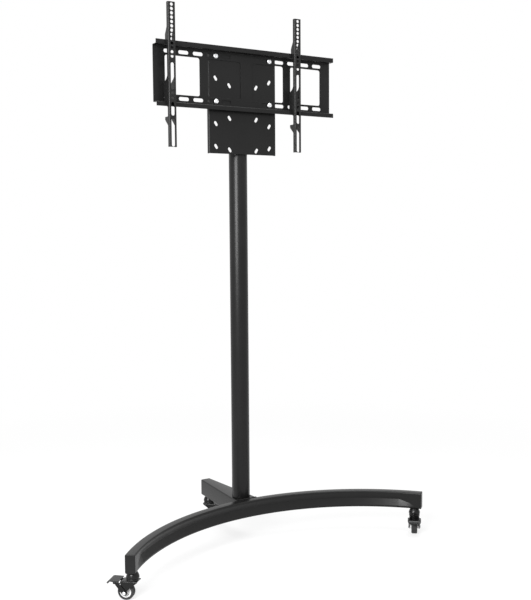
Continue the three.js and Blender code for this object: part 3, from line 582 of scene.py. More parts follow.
fold_steps = np.array([-1.5, 0, 1.5])  # rows before, on and after each end of the facets
fade_ends = np.concatenate([PLAIN_END + fold_steps, PLAIN_END + GROOVE_FADE + fold_steps])
fade_turns = ARC_HALF - fade_ends / ARC_RADIUS
turns = np.sort(np.concatenate([np.linspace(-ARC_HALF, ARC_HALF, 180), fade_turns, -fade_turns]))
outer_skin, inner_skin = (
    on_arc(turns[:, None], tube_section(inset, groove_depth(turns))) for inset in (0, TUBE_WALL)
)
tube_points = np.concatenate([outer_skin, inner_skin[::-1]])
make_piece("base_arc_tube", [grid(tube_points, True, True)], "base", "powder_coat", ["arc_tube"])
print("tube length along its middle:", round(2 * ARC_HALF * (ARC_RADIUS - ARC_WIDTH / 2)), "mm")

# %% [markdown]
# Each end of the tube is closed by a push-in plastic cap: a plug inside and a flange outside with a
# soft edge. It is the tube's own section, carried past the end and drawn in row by row until it
# closes in a point at its middle. The rear leg's cap takes the same rows.

# %% Tube end caps
CAP_FLANGE, CAP_PLUG = 3.0, 11.0
CAP_FIT, CAP_SOFT = 2.3, 1.5  # the plug's inset, and the round edge of the flange
DISH_INSET, DISH_DEPTH = 5.0, 0.5
LEAST_SIZE = 0.001  # keeps a closed row's corners apart while they are rounded


def cap_rows():
    """Rows of (distance past the end, inset, size); a size of 0 is the point that closes the skin."""
    last = GAP + CAP_FLANGE
    rows = [(-CAP_PLUG, CAP_FIT, 0), (-CAP_PLUG, CAP_FIT, 1), (GAP, CAP_FIT, 1), (GAP, 0, 1)]
    for angle in np.linspace(0, np.pi / 2, 6):
        rows.append((last - CAP_SOFT * (1 - np.sin(angle)), CAP_SOFT * (1 - np.cos(angle)), 1))
    rows += [(last - DISH_DEPTH, DISH_INSET, 1), (last - DISH_DEPTH, DISH_INSET, 0)]
    return np.array(rows).T


def arc_cap(side):
    """The tube's own section without its groove, carried past one end."""
    past, inset, size = cap_rows()
    middle = np.array([ARC_RADIUS - ARC_WIDTH / 2, BASE_MIDDLE])
    section = middle + (tube_section(inset, 0) - middle) * size[:, None, None]
    return grid(on_arc(side * (ARC_HALF + past[:, None] / ARC_RADIUS), section), wrap_columns=True)


for side_name, side in (("left", -1), ("right", 1)):
    cap_name = f"arc_end_cap_{side_name}"
    make_piece(f"{cap_name}_moulded", [arc_cap(side)], "base", "cap_plastic", [cap_name])
print("end caps at", np.degrees(ARC_HALF).round(1), "degrees either side")

# %% [markdown]
# ## The rear leg
# The leg is a box of folded sheet that narrows towards the back. Its front end is cut to the arc and
# welded to it. The skin is a grid from front to back whose first row lies on the arc's own circle.

# %% Rear leg
LEG_LENGTH, LEG_FRONT, LEG_REAR = 284.0, 80.0, 36.0
LEG_CORNER, LEG_INNER_CORNER = 4.0, 2.0
LEG_CORNER_SHARE = 0.12  # of half the width, for the cut along the arc alone
ARC_BACK_Y = ARC_CENTRE_Y + ARC_RADIUS
LEG_REAR_Y = ARC_BACK_Y + LEG_LENGTH
SQUARE = rectangle(-1, -1, 1, 1)


def leg_width(y):
    """Half the width falls in a straight line from front to back."""
    return (LEG_FRONT + (LEG_REAR - LEG_FRONT) * (y - ARC_BACK_Y) / LEG_LENGTH) / 2


def leg_skin(inset, shares, corner=LEG_CORNER):
    """Rows at shares of the way from the arc, at y = centre + sqrt(r^2 - x^2), to the rear end."""
    across = rounded(SQUARE, LEG_CORNER_SHARE, steps=5)[:, 0]
    front_x = across * (leg_width(ARC_BACK_Y) - inset)
    front_y = ARC_CENTRE_Y + np.sqrt((ARC_RADIUS + GAP) ** 2 - front_x**2)
    y = front_y + (LEG_REAR_Y - front_y) * np.asarray(shares)[:, None]
    half = spread(leg_width(y[:, :1]) - inset, BASE_HEIGHT / 2 - inset)
    outline = rounded(SQUARE * half, corner, steps=5)
    return spread(outline[..., 0], y, BASE_MIDDLE + outline[..., 1])


leg_shares = np.linspace(0, 1, 25)
leg_inside = leg_skin(TUBE_WALL, leg_shares, LEG_INNER_CORNER)
leg_points = np.concatenate([leg_skin(0, leg_shares), leg_inside[::-1]])
make_piece("rear_leg_box", [grid(leg_points, True, True)], "base", "powder_coat", ["rear_leg"])
print("leg:", LEG_FRONT, "to", LEG_REAR, "mm wide over", LEG_LENGTH, "mm")

# %% [markdown]
# The leg's cap is moulded like the tube's caps. It follows the leg, which still narrows on its way
# out, so each row takes the width that the leg has there.

# %% Rear leg cap


def leg_cap():
    """The leg's own section, from the plug inside to a flange with a soft edge."""
    past, inset, size = cap_rows()
    y = LEG_REAR_Y + past
    half = spread((leg_width(y) - inset) * size, (BASE_HEIGHT / 2 - inset) * size)[:, None]
    corner = np.minimum(LEG_CORNER, half[..., 1] / 3)
    outline = rounded(SQUARE * np.maximum(half, LEAST_SIZE), corner, steps=5) * size[:, None, None]
    return grid(spread(outline[..., 0], y[:, None], BASE_MIDDLE + outline[..., 1]), wrap_columns=True)


make_piece("rear_leg_cap_moulded", [leg_cap()], "base", "cap_plastic", ["rear_leg_cap"])
print("leg cap ends at y", LEG_REAR_Y + GAP + CAP_FLANGE)

# %% [markdown]
# A weld bead is a row of overlapping puddles. It is a thin tube carried along the joint, whose radius
# swells and shrinks with the distance run. It covers the seam between the leg and the arc.

# %% Weld bead
BEAD_RADIUS, PUDDLE, SWELL_SHARE = 1.6, 2.4, 0.15
ASKEW = np.array([0.31, 0.87, 0.38])  # along no part of the seam, so it gives each circle a side


def distance_run(line):
    """How far along the line each of its points is."""
    return np.concatenate([[0], np.cumsum(np.linalg.norm(np.diff(line, axis=0), axis=1))])


def finer(path, count, closed=True):
    """The path at equal steps of its own length; a closed one comes back to its start."""
    line = np.concatenate([path, path[:1]]) if closed else path
    run = distance_run(line)
    wanted = np.linspace(0, run[-1], count, endpoint=not closed)
    return np.stack([np.interp(wanted, run, column) for column in line.T], axis=1)


def bead(path):
    """A circle of radius r (1 + 0.15 |sin(pi s / puddle)|) about each point of a closed path, which
    lies at the length s along it."""
    along = np.roll(path, -1, axis=0) - np.roll(path, 1, axis=0)
    along /= np.linalg.norm(along, axis=1, keepdims=True)
    aside = np.cross(along, ASKEW)
    aside /= np.linalg.norm(aside, axis=1, keepdims=True)
    swell = SWELL_SHARE * np.abs(np.sin(np.pi * distance_run(path) / PUDDLE))
    angle = full_turn(8)[:, None]
    circle = np.cos(angle) * aside[:, None] + np.sin(angle) * np.cross(along, aside)[:, None]
    return grid(path[:, None] + BEAD_RADIUS * (1 + swell)[:, None, None] * circle, True, True)


leg_seam = finer(leg_skin(0, [0.0])[0], 420)
make_piece("leg_weld_bead", [bead(leg_seam)], "base", "powder_coat", sharp=60)
print("weld bead points:", len(leg_seam))

# %% [markdown]
# ## The column
# A plain round tube carries a thinner mast in its upper end. Both are profiles turned about one
# axis. A small round-over at every tube end catches the light where the real tube was deburred.

# %% Column and mast
COLUMN_FOOT, COLUMN_TOP = 138.3, 1283.0
MAST_RADIUS, MAST_FOOT, MAST_TOP = 16.0, 1123.0, 1600.0
DEBURR = 0.6


def about_column(profile, closed=False):
    """A profile of (radius, height) turned about the column's own middle line."""
    points, faces = turned(profile, 96, closed)
    return points + np.array([0, COLUMN_Y, 0]), faces


for name, radius, low, high in (
    ("column", COLUMN_RADIUS, COLUMN_FOOT, COLUMN_TOP),
    ("mast", MAST_RADIUS, MAST_FOOT, MAST_TOP),
):
    wall = rounded(rectangle(radius - TUBE_WALL, low, radius, high), DEBURR, steps=3)
    make_piece(f"{name}_tube", [about_column(wall, closed=True)], "base", "powder_coat", [name])
    print(name, "tube:", round(high - low, 1), "mm long")

# %% [markdown]
# A plastic bushing fills the space between mast and column, and its rim covers the column's edge. The
# mast's own mouth has a domed push-in cap. Each is drawn as half a section, whose corners get the
# radii that a mould has: almost none where it seats, and large ones where it shows.

# %% Bushing and mast cap
BUSHING_LENGTH, MAST_CAP_PLUG, MAST_CAP_DOME = 60.0, 12.0, 3.2
BUSHING_CORNERS = [0.5, 0.5, 0, 0.2, 1.4, 0.5]
MAST_CAP_CORNERS = [0, 0.5, 0, 0.2, 2.4, 0]

rim = COLUMN_TOP + GAP
bore, socket_radius = MAST_RADIUS + GAP, COLUMN_RADIUS - TUBE_WALL - GAP
bushing = [(bore, COLUMN_TOP - BUSHING_LENGTH), (socket_radius, COLUMN_TOP - BUSHING_LENGTH)]
bushing += [(socket_radius, rim), (COLUMN_RADIUS, rim)]
bushing += [(COLUMN_RADIUS, rim + CAP_FLANGE), (bore, rim + CAP_FLANGE)]
bushing_skin = about_column(rounded(bushing, BUSHING_CORNERS, steps=4), closed=True)
make_piece("bushing_moulded", [bushing_skin], "base", "cap_plastic", ["mast_bushing"])

seat, plug_radius = MAST_TOP + GAP, MAST_RADIUS - TUBE_WALL - GAP
mast_cap = [(0, seat - MAST_CAP_PLUG), (plug_radius, seat - MAST_CAP_PLUG), (plug_radius, seat)]
mast_cap += [(MAST_RADIUS, seat), (MAST_RADIUS, seat + MAST_CAP_DOME), (0, seat + MAST_CAP_DOME)]
mast_cap_skin = about_column(rounded(mast_cap, MAST_CAP_CORNERS, steps=5))
make_piece("mast_cap_moulded", [mast_cap_skin], "base", "cap_plastic", ["mast_cap"])
print("bushing rim at", round(rim, 1), "mm, mast cap at", round(seat + MAST_CAP_DOME, 1), "mm")

# %% [markdown]
# ## Folded sheet
# Saddle, head plate, wall plate and arms are all pressed from flat sheet. Each is drawn as the middle
# of its sheet: a flat with its holes, then the bends and flanges as one grid along the same edge.
# The strips run the full length in one step, so their end points meet the flat's corners.
# The head plate is the simplest: a flat between two flanges, with twelve slanted slots and four holes
# for the bolts of the wall plate.

# %% Head plate
HEAD_HALF, HEAD_LOW, HEAD_HIGH, HEAD_FLANGE = 125.0, 1279.0, 1609.0, 12.0
SHEET, BURR = 2.0, 0.3
BEND = 2.0  # of the sheet's middle
PLATE_Z = 1512.6
BOLT_X, BOLT_RISE, BOLT_HOLE = 100.0, 71.0, 4.3
HEAD_SLOT_LENGTH, HEAD_SLOT_WIDTH, HEAD_SLOT_LEAN = 17.0, 9.0, 33.0
HEAD_SLOT_RISES = {50: (13, 113, 216), 100: (22, 94, 236)}  # above the lower edge, by place across

BOLT_PLACES = {
    f"{level_name}_{side_name}": (side * BOLT_X, PLATE_Z + level * BOLT_RISE)
    for level_name, level in (("upper", 1), ("lower", -1))
    for side_name, side in (("left", -1), ("right", 1))
}


def facing(depth):
    """A flat drawn in (x, z) that stands at one depth y."""
    return lambda x, z: spread(x, depth, z)


def channel(half, low, high, front, depth, sheet, holes):
    """A flat between two bends, and a flange back from each."""
    edge, level = half - sheet / 2, front + sheet / 2
    outline = rectangle(BEND - edge, low, edge - BEND, high)
    patches = [filled([outline] + holes, facing(level))]
    for side in (-1, 1):
        fold = [(side * (edge - 2 * BEND), level), (side * edge, level), (side * edge, front + depth)]
        patches.append(strip(open_path(fold, BEND)[1:], spread, low, high))
    return patches


head_slots = [
    slot(side * x, HEAD_LOW + rise, HEAD_SLOT_LENGTH, HEAD_SLOT_WIDTH, side * HEAD_SLOT_LEAN)
    for x, rises in HEAD_SLOT_RISES.items()
    for rise in rises
    for side in (-1, 1)
]
head_holes = head_slots + [hole(x, z, BOLT_HOLE) for x, z in BOLT_PLACES.values()]
head_patches = channel(HEAD_HALF, HEAD_LOW, HEAD_HIGH, 0, HEAD_FLANGE, SHEET, head_holes)
make_piece("head_plate_folded", head_patches, "base", "powder_coat", ["head_plate"], SHEET, BURR)
print("head plate:", 2 * HEAD_HALF, "by", HEAD_HIGH - HEAD_LOW, "mm with", len(head_slots), "slots")

# %% [markdown]
# The saddle is the channel that clasps the mast behind the head plate. It is the same fold again,
# narrower, deeper and of thicker sheet, so the same function draws it.

# %% Saddle
SADDLE_SHEET, SADDLE_HALF, SADDLE_DEPTH = 2.4, 18.7, 40.0
SADDLE_LOW, SADDLE_HIGH = 1298.0, 1588.0

behind_head = SHEET + GAP
saddle_patches = channel(SADDLE_HALF, SADDLE_LOW, SADDLE_HIGH, behind_head, SADDLE_DEPTH, SADDLE_SHEET, [])
make_piece("saddle_folded", saddle_patches, "base", "powder_coat", ["saddle"], SADDLE_SHEET, BURR)
print("saddle:", 2 * SADDLE_HALF, "mm wide")

# %% [markdown]
# The wall plate is one sheet with a ledge and a lip along its top and bottom, four large windows, and
# two rows of slots, so it can be bolted on further left or right. A round hole replaces one slot.

# %% Wall plate
PLATE_SHIFT, PLATE_HALF_WIDTH = 12.5, 330.0
PLATE_Y, LIP_Y = -1.3, -24.3
LEDGE, LIP_TIP = 86.0, 99.5
WINDOW_HALF_HEIGHT, WINDOW_CORNER = 59.0, 7.0
WINDOW_SHARES = ((0.0636, 0.4273), (0.5152, 0.8788))
SLOT_SHARES = (0.2282, 0.3803, 0.5324, 0.6845, 0.8367)
WALL_SLOT_LENGTH, WALL_SLOT_WIDTH = 35.0, 11.5
LOCK_SHARE, LOCK_RADIUS = 0.5, 5.5
NO_SLOT = (SLOT_SHARES[2], 1, -1)  # a round hole takes its place


def from_plate_middle(share):
    """A place across the plate, from a share of half its width."""
    return PLATE_SHIFT + share * PLATE_HALF_WIDTH


def window(near, far, side):
    """A window between two shares of half the plate's width, on one side of its middle."""
    low, high = sorted(from_plate_middle(side * share) for share in (near, far))
    corners = rectangle(low, PLATE_Z - WINDOW_HALF_HEIGHT, high, PLATE_Z + WINDOW_HALF_HEIGHT)
    return rounded(corners, WINDOW_CORNER)


def wall_slot(share, side, level):
    """A slot that lies along the plate."""
    place = (from_plate_middle(side * share), PLATE_Z + level * BOLT_RISE)
    return slot(*place, WALL_SLOT_LENGTH, WALL_SLOT_WIDTH, 90)


windows = [window(*shares, side) for shares in WINDOW_SHARES for side in (-1, 1)]
slot_places = [(share, side, level) for share in SLOT_SHARES for side in (-1, 1) for level in (-1, 1)]
plate_slots = [wall_slot(*place) for place in slot_places if place != NO_SLOT]
plate_slots.append(hole(from_plate_middle(LOCK_SHARE), PLATE_Z - BOLT_RISE, LOCK_RADIUS))
plate_ends = from_plate_middle(-1), from_plate_middle(1)
flat_edge = LEDGE - BEND
plate_outline = rectangle(plate_ends[0], PLATE_Z - flat_edge, plate_ends[1], PLATE_Z + flat_edge)
plate_patches = [filled([plate_outline] + windows + plate_slots, facing(PLATE_Y))]
for level in (-1, 1):
    fold = [(PLATE_Y, flat_edge - BEND), (PLATE_Y, LEDGE), (LIP_Y, LEDGE), (LIP_Y, LIP_TIP)]
    path = open_path(fold, BEND)[1:] * np.array([1, level]) + np.array([0, PLATE_Z])
    plate_patches.append(strip(path, lambda y, z, x: spread(x, y, z), *plate_ends))
make_piece("wall_plate_folded", plate_patches, "base", "powder_coat", ["wall_plate"], SHEET, BURR)
print("wall plate:", 2 * PLATE_HALF_WIDTH, "mm wide,", len(windows), "windows,", len(plate_slots), "slots")

# %% [markdown]
# ## The arms
# Each arm is a shallow channel: a face with a row of screw holes, and two side webs cut to hook over
# the upper lip and rest on the lower ledge. The webs are flat outlines in side view, and the bends
# between them and the face are straight strips.

# %% Arms
ARM_FACE_Y, ARM_HALF = -41.0, 12.5
ARM_BELOW, ARM_ABOVE = 223.0, 210.0
ARM_BACK, WEB_ROOT = 11.0, SHEET / 2 + BEND  # behind the face
LIP_FACE, HOOK_GAP = 15.4, 18.0
ARM_SHARES = {"left": -0.8591, "right": 0.5303}
HOLE_TOP, HOLE_PITCH, HOLE_COUNT, HOLE_RADIUS = 202.0, 12.8, 13, 4.9
LONE_HOLES = [-61.0, -75.0]
ARM_SLOT_WIDTH, ARM_SLOT_SPANS = 11.0, ((-50, 30), (-129, -88), (-222, -138.5))
WEB_OUTLINE = [  # distance behind the face, rise from the plate's middle, corner radius
    (WEB_ROOT, -ARM_BELOW, 0),
    (ARM_BACK, -ARM_BELOW, 2),
    (ARM_BACK, -158, 4),
    (30, -140, 3),
    (30, -131, 1),
    (ARM_BACK, -131, 2),
    (ARM_BACK, -103.5, 2),
    (LIP_FACE, -99.5, 1),
    (LIP_FACE, -84.7, 0.5),
    (34, -84.7, 2),
    (34, -28, 8),
    (LIP_FACE, -15, 4),
    (ARM_BACK, -8, 3),
    (ARM_BACK, 81, 2),
    (LIP_FACE, 85, 1),
    (LIP_FACE, 99.8, 0.8),
    (HOOK_GAP, 99.8, 0.8),
    (HOOK_GAP, 88.6, 0.5),
    (23, 88.6, 1),
    (23, 115, 5),
    (ARM_BACK, 137, 5),
    (ARM_BACK, ARM_ABOVE, 2),
    (WEB_ROOT, ARM_ABOVE, 0),
]


def arm_patches(middle):
    """The face at one depth, two bends, two webs."""
    edge, level = ARM_HALF - SHEET / 2, ARM_FACE_Y + SHEET / 2
    low, high = PLATE_Z - ARM_BELOW, PLATE_Z + ARM_ABOVE
    outline = rectangle(middle - edge + BEND, low, middle + edge - BEND, high)
    rises = [HOLE_TOP - HOLE_PITCH * rank for rank in range(HOLE_COUNT)] + LONE_HOLES
    holes = [hole(middle, PLATE_Z + rise, HOLE_RADIUS) for rise in rises]
    for start, end in ARM_SLOT_SPANS:
        holes.append(slot(middle, PLATE_Z + (start + end) / 2, end - start, ARM_SLOT_WIDTH, 0))
    patches = [filled([outline] + holes, facing(level))]
    depth, rise, radius = np.array(WEB_OUTLINE).T
    web = rounded(spread(ARM_FACE_Y + depth, PLATE_Z + rise), radius, steps=4)
    for side in (-1, 1):
        x = middle + side * edge
        fold = [(x - 2 * side * BEND, level), (x, level), (x, level + 2 * BEND)]
        patches.append(strip(open_path(fold, BEND)[1:-1], spread, low, high))
        patches.append(filled([web], lambda y, z, x=x: spread(x, y, z)))
    return patches


for side_name, share in ARM_SHARES.items():
    arm_name = f"{side_name}_arm"
    patches = arm_patches(from_plate_middle(share))
    make_piece(f"{arm_name}_pressed", patches, arm_name, "arm_coat", [arm_name], SHEET, BURR)
print("arms:", round(ARM_BELOW + ARM_ABOVE), "mm tall")

# %% [markdown]
# ## Fasteners
# A pan head is a low dome with a cross pressed into it. The head is a polar grid whose height drops
# inside the cross. A hexagon nut is a polar grid too: its radius follows the six flats, and a cone
# cuts its corners, so that each flat ends in a curve.

# %% Pan head, hexagon and thread
CROSS_HALF_SHARE, CROSS_WALL_SHARE = 0.15, 0.05  # of the head's radius
CROSS_END_SHARE, CROSS_SLOPE_SHARE = 0.52, 0.08
RIM_SHARE, DOME_POWER = 0.25, 3.2
CHAMFER_SHARE, CHAMFER_SLOPE = 0.97, np.tan(np.radians(30))
PITCH, THREAD_DEPTH_SHARE, THREAD_CHAMFER = 1.25, 0.3, 0.8


def pan_head(radius, height, recess):
    """Height = rim + (h - rim) sqrt(1 - (r/R)^3.2), less the depth of a cross with sloping walls."""
    share = np.concatenate([np.linspace(0, 0.62, 22), np.linspace(0.64, 1, 12)])[:, None]
    angle = full_turn(64)
    x, y = share * np.cos(angle), share * np.sin(angle)
    rim_height = RIM_SHARE * height
    dome = rim_height + (height - rim_height) * np.sqrt(np.maximum(1 - share**DOME_POWER, 0))
    beside = np.minimum(np.abs(x), np.abs(y))
    reach = np.maximum(np.abs(x), np.abs(y))
    side_wall = np.clip((CROSS_HALF_SHARE - beside) / CROSS_WALL_SHARE, 0, 1)
    end_wall = np.clip((CROSS_END_SHARE - reach) / CROSS_SLOPE_SHARE, 0, 1)
    cross = recess * side_wall * end_wall * (1 - reach / 2)
    skin = spread(radius * x, radius * y, dome - cross)
    foot = skin[-1:] * np.array([1, 1, 0])
    return grid(np.concatenate([skin, foot, 0 * foot]), wrap_columns=True)


def hexagon(across, low, high, bore=0.0, sides=48):
    """Radius = flat / cos(angle from the flat's middle); a corner past the chamfer circle loses
    (r - 0.97 flat) tan 30 of height."""
    angle, flat = full_turn(sides), across / 2
    corner = flat / np.cos((angle + np.pi / 6) % (np.pi / 3) - np.pi / 6)
    lost = np.maximum(corner - CHAMFER_SHARE * flat, 0) * CHAMFER_SLOPE
    chamfer = np.minimum(corner, CHAMFER_SHARE * flat)
    rows = [(bore, low), (chamfer, low), (corner, low + lost)]
    rows += [(corner, high - lost), (chamfer, high), (bore, high)]
    points = [spread(r * np.cos(angle), r * np.sin(angle), h) for r, h in rows]
    return grid(np.array(points), wrap_rows=bore > 0, wrap_columns=True)


def threaded(radius, low, high, sides=20):
    """A rod whose radius dips by 0.3 of the pitch once each turn and pitch, with a plain chamfer."""
    height = np.linspace(low, high, int((high - low) / PITCH * 6) + 1)[:, None]
    angle = full_turn(sides)
    wave = 0.5 + 0.5 * np.cos(2 * np.pi * height / PITCH - angle)
    size = radius - THREAD_DEPTH_SHARE * PITCH * wave
    size = np.minimum(size, radius - THREAD_CHAMFER + (high - height))
    size = np.concatenate([0 * size[:1], size, 0 * size[:1]])
    height = np.concatenate([height[:1], height, height[-1:]])
    return grid(spread(size * np.cos(angle), size * np.sin(angle), height), wrap_columns=True)


def aimed(patch, axis, place, flat=(1, 0, 0)):
    """The patch's own up direction laid along an axis and its first flat turned to face one way."""
    up_line, first = np.asarray(axis, float), np.asarray(flat, float)
    turn = np.stack([first, np.cross(up_line, first), up_line])
    return patch[0] @ turn + np.asarray(place, float), patch[1]


print("pan head faces:", len(pan_head(1, 1, 0.5)[1]), "nut faces:", len(hexagon(1, 0, 1, bore=0.3)[1]))

# %% [markdown]
# Four bolts of 8 mm clamp the wall plate to the head plate. Their pan heads show from the front, so
# the cross matters. Their nuts sit behind.

# %% Wall plate bolts and nuts
THREAD_RADIUS, NUT_BORE, ACROSS_FLATS = 4.0, 4.2, 13.0
NUT_HEIGHT, HEX_HEAD_HEIGHT = 6.5, 5.3
PAN_RADIUS, PAN_HEIGHT, PAN_RECESS = 8.3, 4.9, 2.4
WALL_SHANK = 13.7


def nut(axis, place, flat=(1, 0, 0)):
    """A hexagon nut that stands on its place and points along the axis."""
    return [aimed(hexagon(ACROSS_FLATS, 0, NUT_HEIGHT, NUT_BORE), axis, place, flat)]


def shank(length, axis, place, flat=(1, 0, 0)):
    """A threaded rod from its place along the axis."""
    return aimed(threaded(THREAD_RADIUS, 0, length), axis, place, flat)


plate_front = PLATE_Y - SHEET / 2
for spot, (x, z) in BOLT_PLACES.items():
    bearing = (x, plate_front - GAP, z)
    pan = aimed(pan_head(PAN_RADIUS, PAN_HEIGHT, PAN_RECESS), (0, -1, 0), bearing)
    pan_bolt = [pan, shank(WALL_SHANK, (0, 1, 0), bearing)]
    make_piece(f"pan_bolt_{spot}", pan_bolt, "base", "zinc", [f"wall_bolt_{spot}"], sharp=50)
    wall_nut = nut((0, 1, 0), (x, SHEET + GAP, z))
    make_piece(f"hex_nut_{spot}", wall_nut, "base", "zinc", [f"wall_nut_{spot}"], sharp=20)
print("wall plate bolts:", len(BOLT_PLACES))

# %% [markdown]
# Hexagon bolts run where no one looks from the front: two across the saddle and the mast, and two
# from behind through the column's wall into the bushing, which hold the mast at its height.

# %% Saddle and mast bolts
SADDLE_BOLT_LEVELS = {"upper": 1548.0, "lower": 1338.0}
MAST_BOLT_DROPS = {"upper": 15.0, "lower": 45.0}  # below the column's mouth
MAST_SHANK, PAST_SADDLE = 18.3, 8.5


def hex_bolt(start, axis, length, flat):
    """A hexagon head against the bearing face at the start, and a threaded shank along the axis."""
    back = tuple(-step for step in axis)
    head = aimed(hexagon(ACROSS_FLATS, 0, HEX_HEAD_HEIGHT), back, start, flat)
    return [head, shank(length, axis, start, flat)]


side_face = SADDLE_HALF + GAP
for level, z in SADDLE_BOLT_LEVELS.items():
    bolt = hex_bolt((-side_face, COLUMN_Y, z), (1, 0, 0), 2 * side_face + PAST_SADDLE, flat=(0, 0, 1))
    make_piece(f"hex_bolt_saddle_{level}", bolt, "base", "zinc", [f"saddle_bolt_{level}"], sharp=20)
    saddle_nut = nut((1, 0, 0), (side_face, COLUMN_Y, z), flat=(0, 1, 0))
    make_piece(f"hex_nut_saddle_{level}", saddle_nut, "base", "zinc", [f"saddle_nut_{level}"], sharp=20)
for level, drop in MAST_BOLT_DROPS.items():
    start = (0, COLUMN_Y + COLUMN_RADIUS + GAP, COLUMN_TOP - drop)
    bolt = hex_bolt(start, (0, -1, 0), MAST_SHANK, flat=(1, 0, 0))
    make_piece(f"hex_bolt_mast_{level}", bolt, "base", "zinc", [f"mast_bolt_{level}"], sharp=20)
print("saddle bolts at heights", list(SADDLE_BOLT_LEVELS.values()))

# %% [markdown]
# ## The casters
# Each caster is drawn once in its own frame: x ahead along its heading, y along the axle, z up from
# the floor under the stem. A turn and a move then set all three copies.

# %% Caster frames
STEM_INSET = 22.0
stem_turn = ARC_HALF - STEM_INSET / ARC_RADIUS
stem_x, stem_y, _ = on_arc(stem_turn, np.array([ARC_RADIUS - ARC_WIDTH / 2, 0.0]))
CASTERS = {
    "left": ((-stem_x, stem_y), 135.4),
    "right": ((stem_x, stem_y), -131.3),
    "rear": ((0.0, LEG_REAR_Y - STEM_INSET), -45.0),
}
AXLE_X, AXLE_Z = 19.5, 24.0


def from_caster(side, patches):
    """(x cos a - y sin a, x sin a + y cos a, z) for the heading a, then moved under the stem."""
    stem, heading = CASTERS[side]
    a = np.radians(heading)
    turn = np.array([[np.cos(a), np.sin(a), 0], [-np.sin(a), np.cos(a), 0], [0, 0, 1]])
    return [(points @ turn + np.array([*stem, 0]), faces) for points, faces in patches]


def about_axle(patch):
    """The patch's own up direction laid along the axle."""
    x, y, z = patch[0].T
    return spread(AXLE_X + x, z, AXLE_Z - y), patch[1]


def quarter_bend(radius, steps=5):
    """Distances (out, down) round a quarter circle that starts level."""
    angle = np.radians(np.linspace(0, 90, steps + 1))
    return radius * np.sin(angle), radius * (1 - np.cos(angle))


print("headings, degrees:", {side: heading for side, (_, heading) in CASTERS.items()})

# %% [markdown]
# The fork is folded sheet again: a crown that runs level under the stem and then curves down round
# the wheel, a bend along each edge of it, and two legs. The crown and its bends are one grid: the same
# side view again and again across the wheel, lower towards each edge.

# %% Fork
CROWN_REAR, CROWN_TOP, CROWN_SHEET, CROWN_BEND = -18.0, 58.0, 2.2, 2.25
CROWN_END_ANGLE = 66.0
FORK_MIDDLE = 17.2 - CROWN_SHEET / 2  # from the wheel's middle to the middle of a leg's sheet
FORK_CORNERS = (27.5, 36.0), (-2.0, 43.0)  # in front of the foot and behind it
FOOT_RADIUS, AXLE_HOLE = 8.0, 3.3


def crown_line(drop):
    """The crown's side view, lowered by a drop: straight over the stem, then round the wheel."""
    level = CROWN_TOP - CROWN_SHEET / 2 - drop
    straight = spread(np.linspace(CROWN_REAR, AXLE_X, 9)[:-1], level)
    return np.concatenate([straight, arc_line(AXLE_X, AXLE_Z, level - AXLE_Z, 90, CROWN_END_ANGLE, 8)])


def fork_patches():
    """One grid over the crown and its two bends, and a flat leg on each side."""
    out, down = quarter_bend(CROWN_BEND)
    across = FORK_MIDDLE - CROWN_BEND + out
    across = np.concatenate([-across[::-1], across])[:, None]
    lines = np.array([crown_line(drop) for drop in (*down[::-1], *down)])
    patches = [grid(spread(lines[..., 0], across, lines[..., 1]))]
    foot = arc_line(AXLE_X, AXLE_Z, FOOT_RADIUS, 30, -210, 16)
    leg = np.concatenate([crown_line(CROWN_BEND), FORK_CORNERS[:1], foot, FORK_CORNERS[1:]])
    for side in (-1, 1):
        patches.append(filled([leg, hole(AXLE_X, AXLE_Z, AXLE_HOLE)], facing(side * FORK_MIDDLE)))
    return patches


print("fork width:", 2 * FORK_MIDDLE + CROWN_SHEET, "mm, patches:", len(fork_patches()))

# %% [markdown]
# Over the crown sit the two halves of the swivel bearing: a hood that turns with the fork, and a tall
# dome fixed to the stem. Both are turned profiles with the large radii of deep-drawn steel.

# %% Fork, hood and dome
HOOD_RADIUS, HOOD_LOW, HOOD_HIGH = 18.0, 57.0, 64.0
DOME_RADIUS, DOME_BORE, DOME_LOW, DOME_HIGH = 19.0, 5.3, 64.3, 82.7
DOME_SIDE = [(DOME_RADIUS, 69.3), (17.0, 75.0), (12.5, DOME_HIGH)]
HOOD_CORNERS = [0, 0, 1.8, 0]  # radii of the profile's corners
DOME_CORNERS = [0, 0.9, 8, 12, 3, 0]

hood_profile = rounded(rectangle(0, HOOD_LOW, HOOD_RADIUS, HOOD_HIGH), HOOD_CORNERS, steps=5)
dome_profile = [(DOME_BORE, DOME_LOW), (DOME_RADIUS, DOME_LOW), *DOME_SIDE, (DOME_BORE, DOME_HIGH)]
hood = turned(hood_profile, 64)
dome = turned(rounded(dome_profile, DOME_CORNERS, steps=5), 64, closed=True)
for side in CASTERS:
    caster = f"{side}_caster"
    fork = from_caster(side, fork_patches())
    nodes = [f"{side}_fork"]
    make_piece(f"{side}_fork_pressed", fork, caster, "caster_black", nodes, CROWN_SHEET, burr=0.4)
    make_piece(f"{side}_swivel_hood", from_caster(side, [hood]), caster, "caster_black")
    race = from_caster(side, [dome])
    make_piece(f"{side}_domed_race", race, "base", "caster_black", [f"{side}_swivel_race"])
print("hood radius:", HOOD_RADIUS, "mm, dome radius:", DOME_RADIUS, "mm")

# %% [markdown]
# The wheel is two mouldings: a pale core with a dished web, ribs and a hub, and a tyre with soft
# shoulders and two fine rings on its tread. Both are profiles turned about the axle. The ribs come
# from the height of the web, which rises where the angle is near a rib.

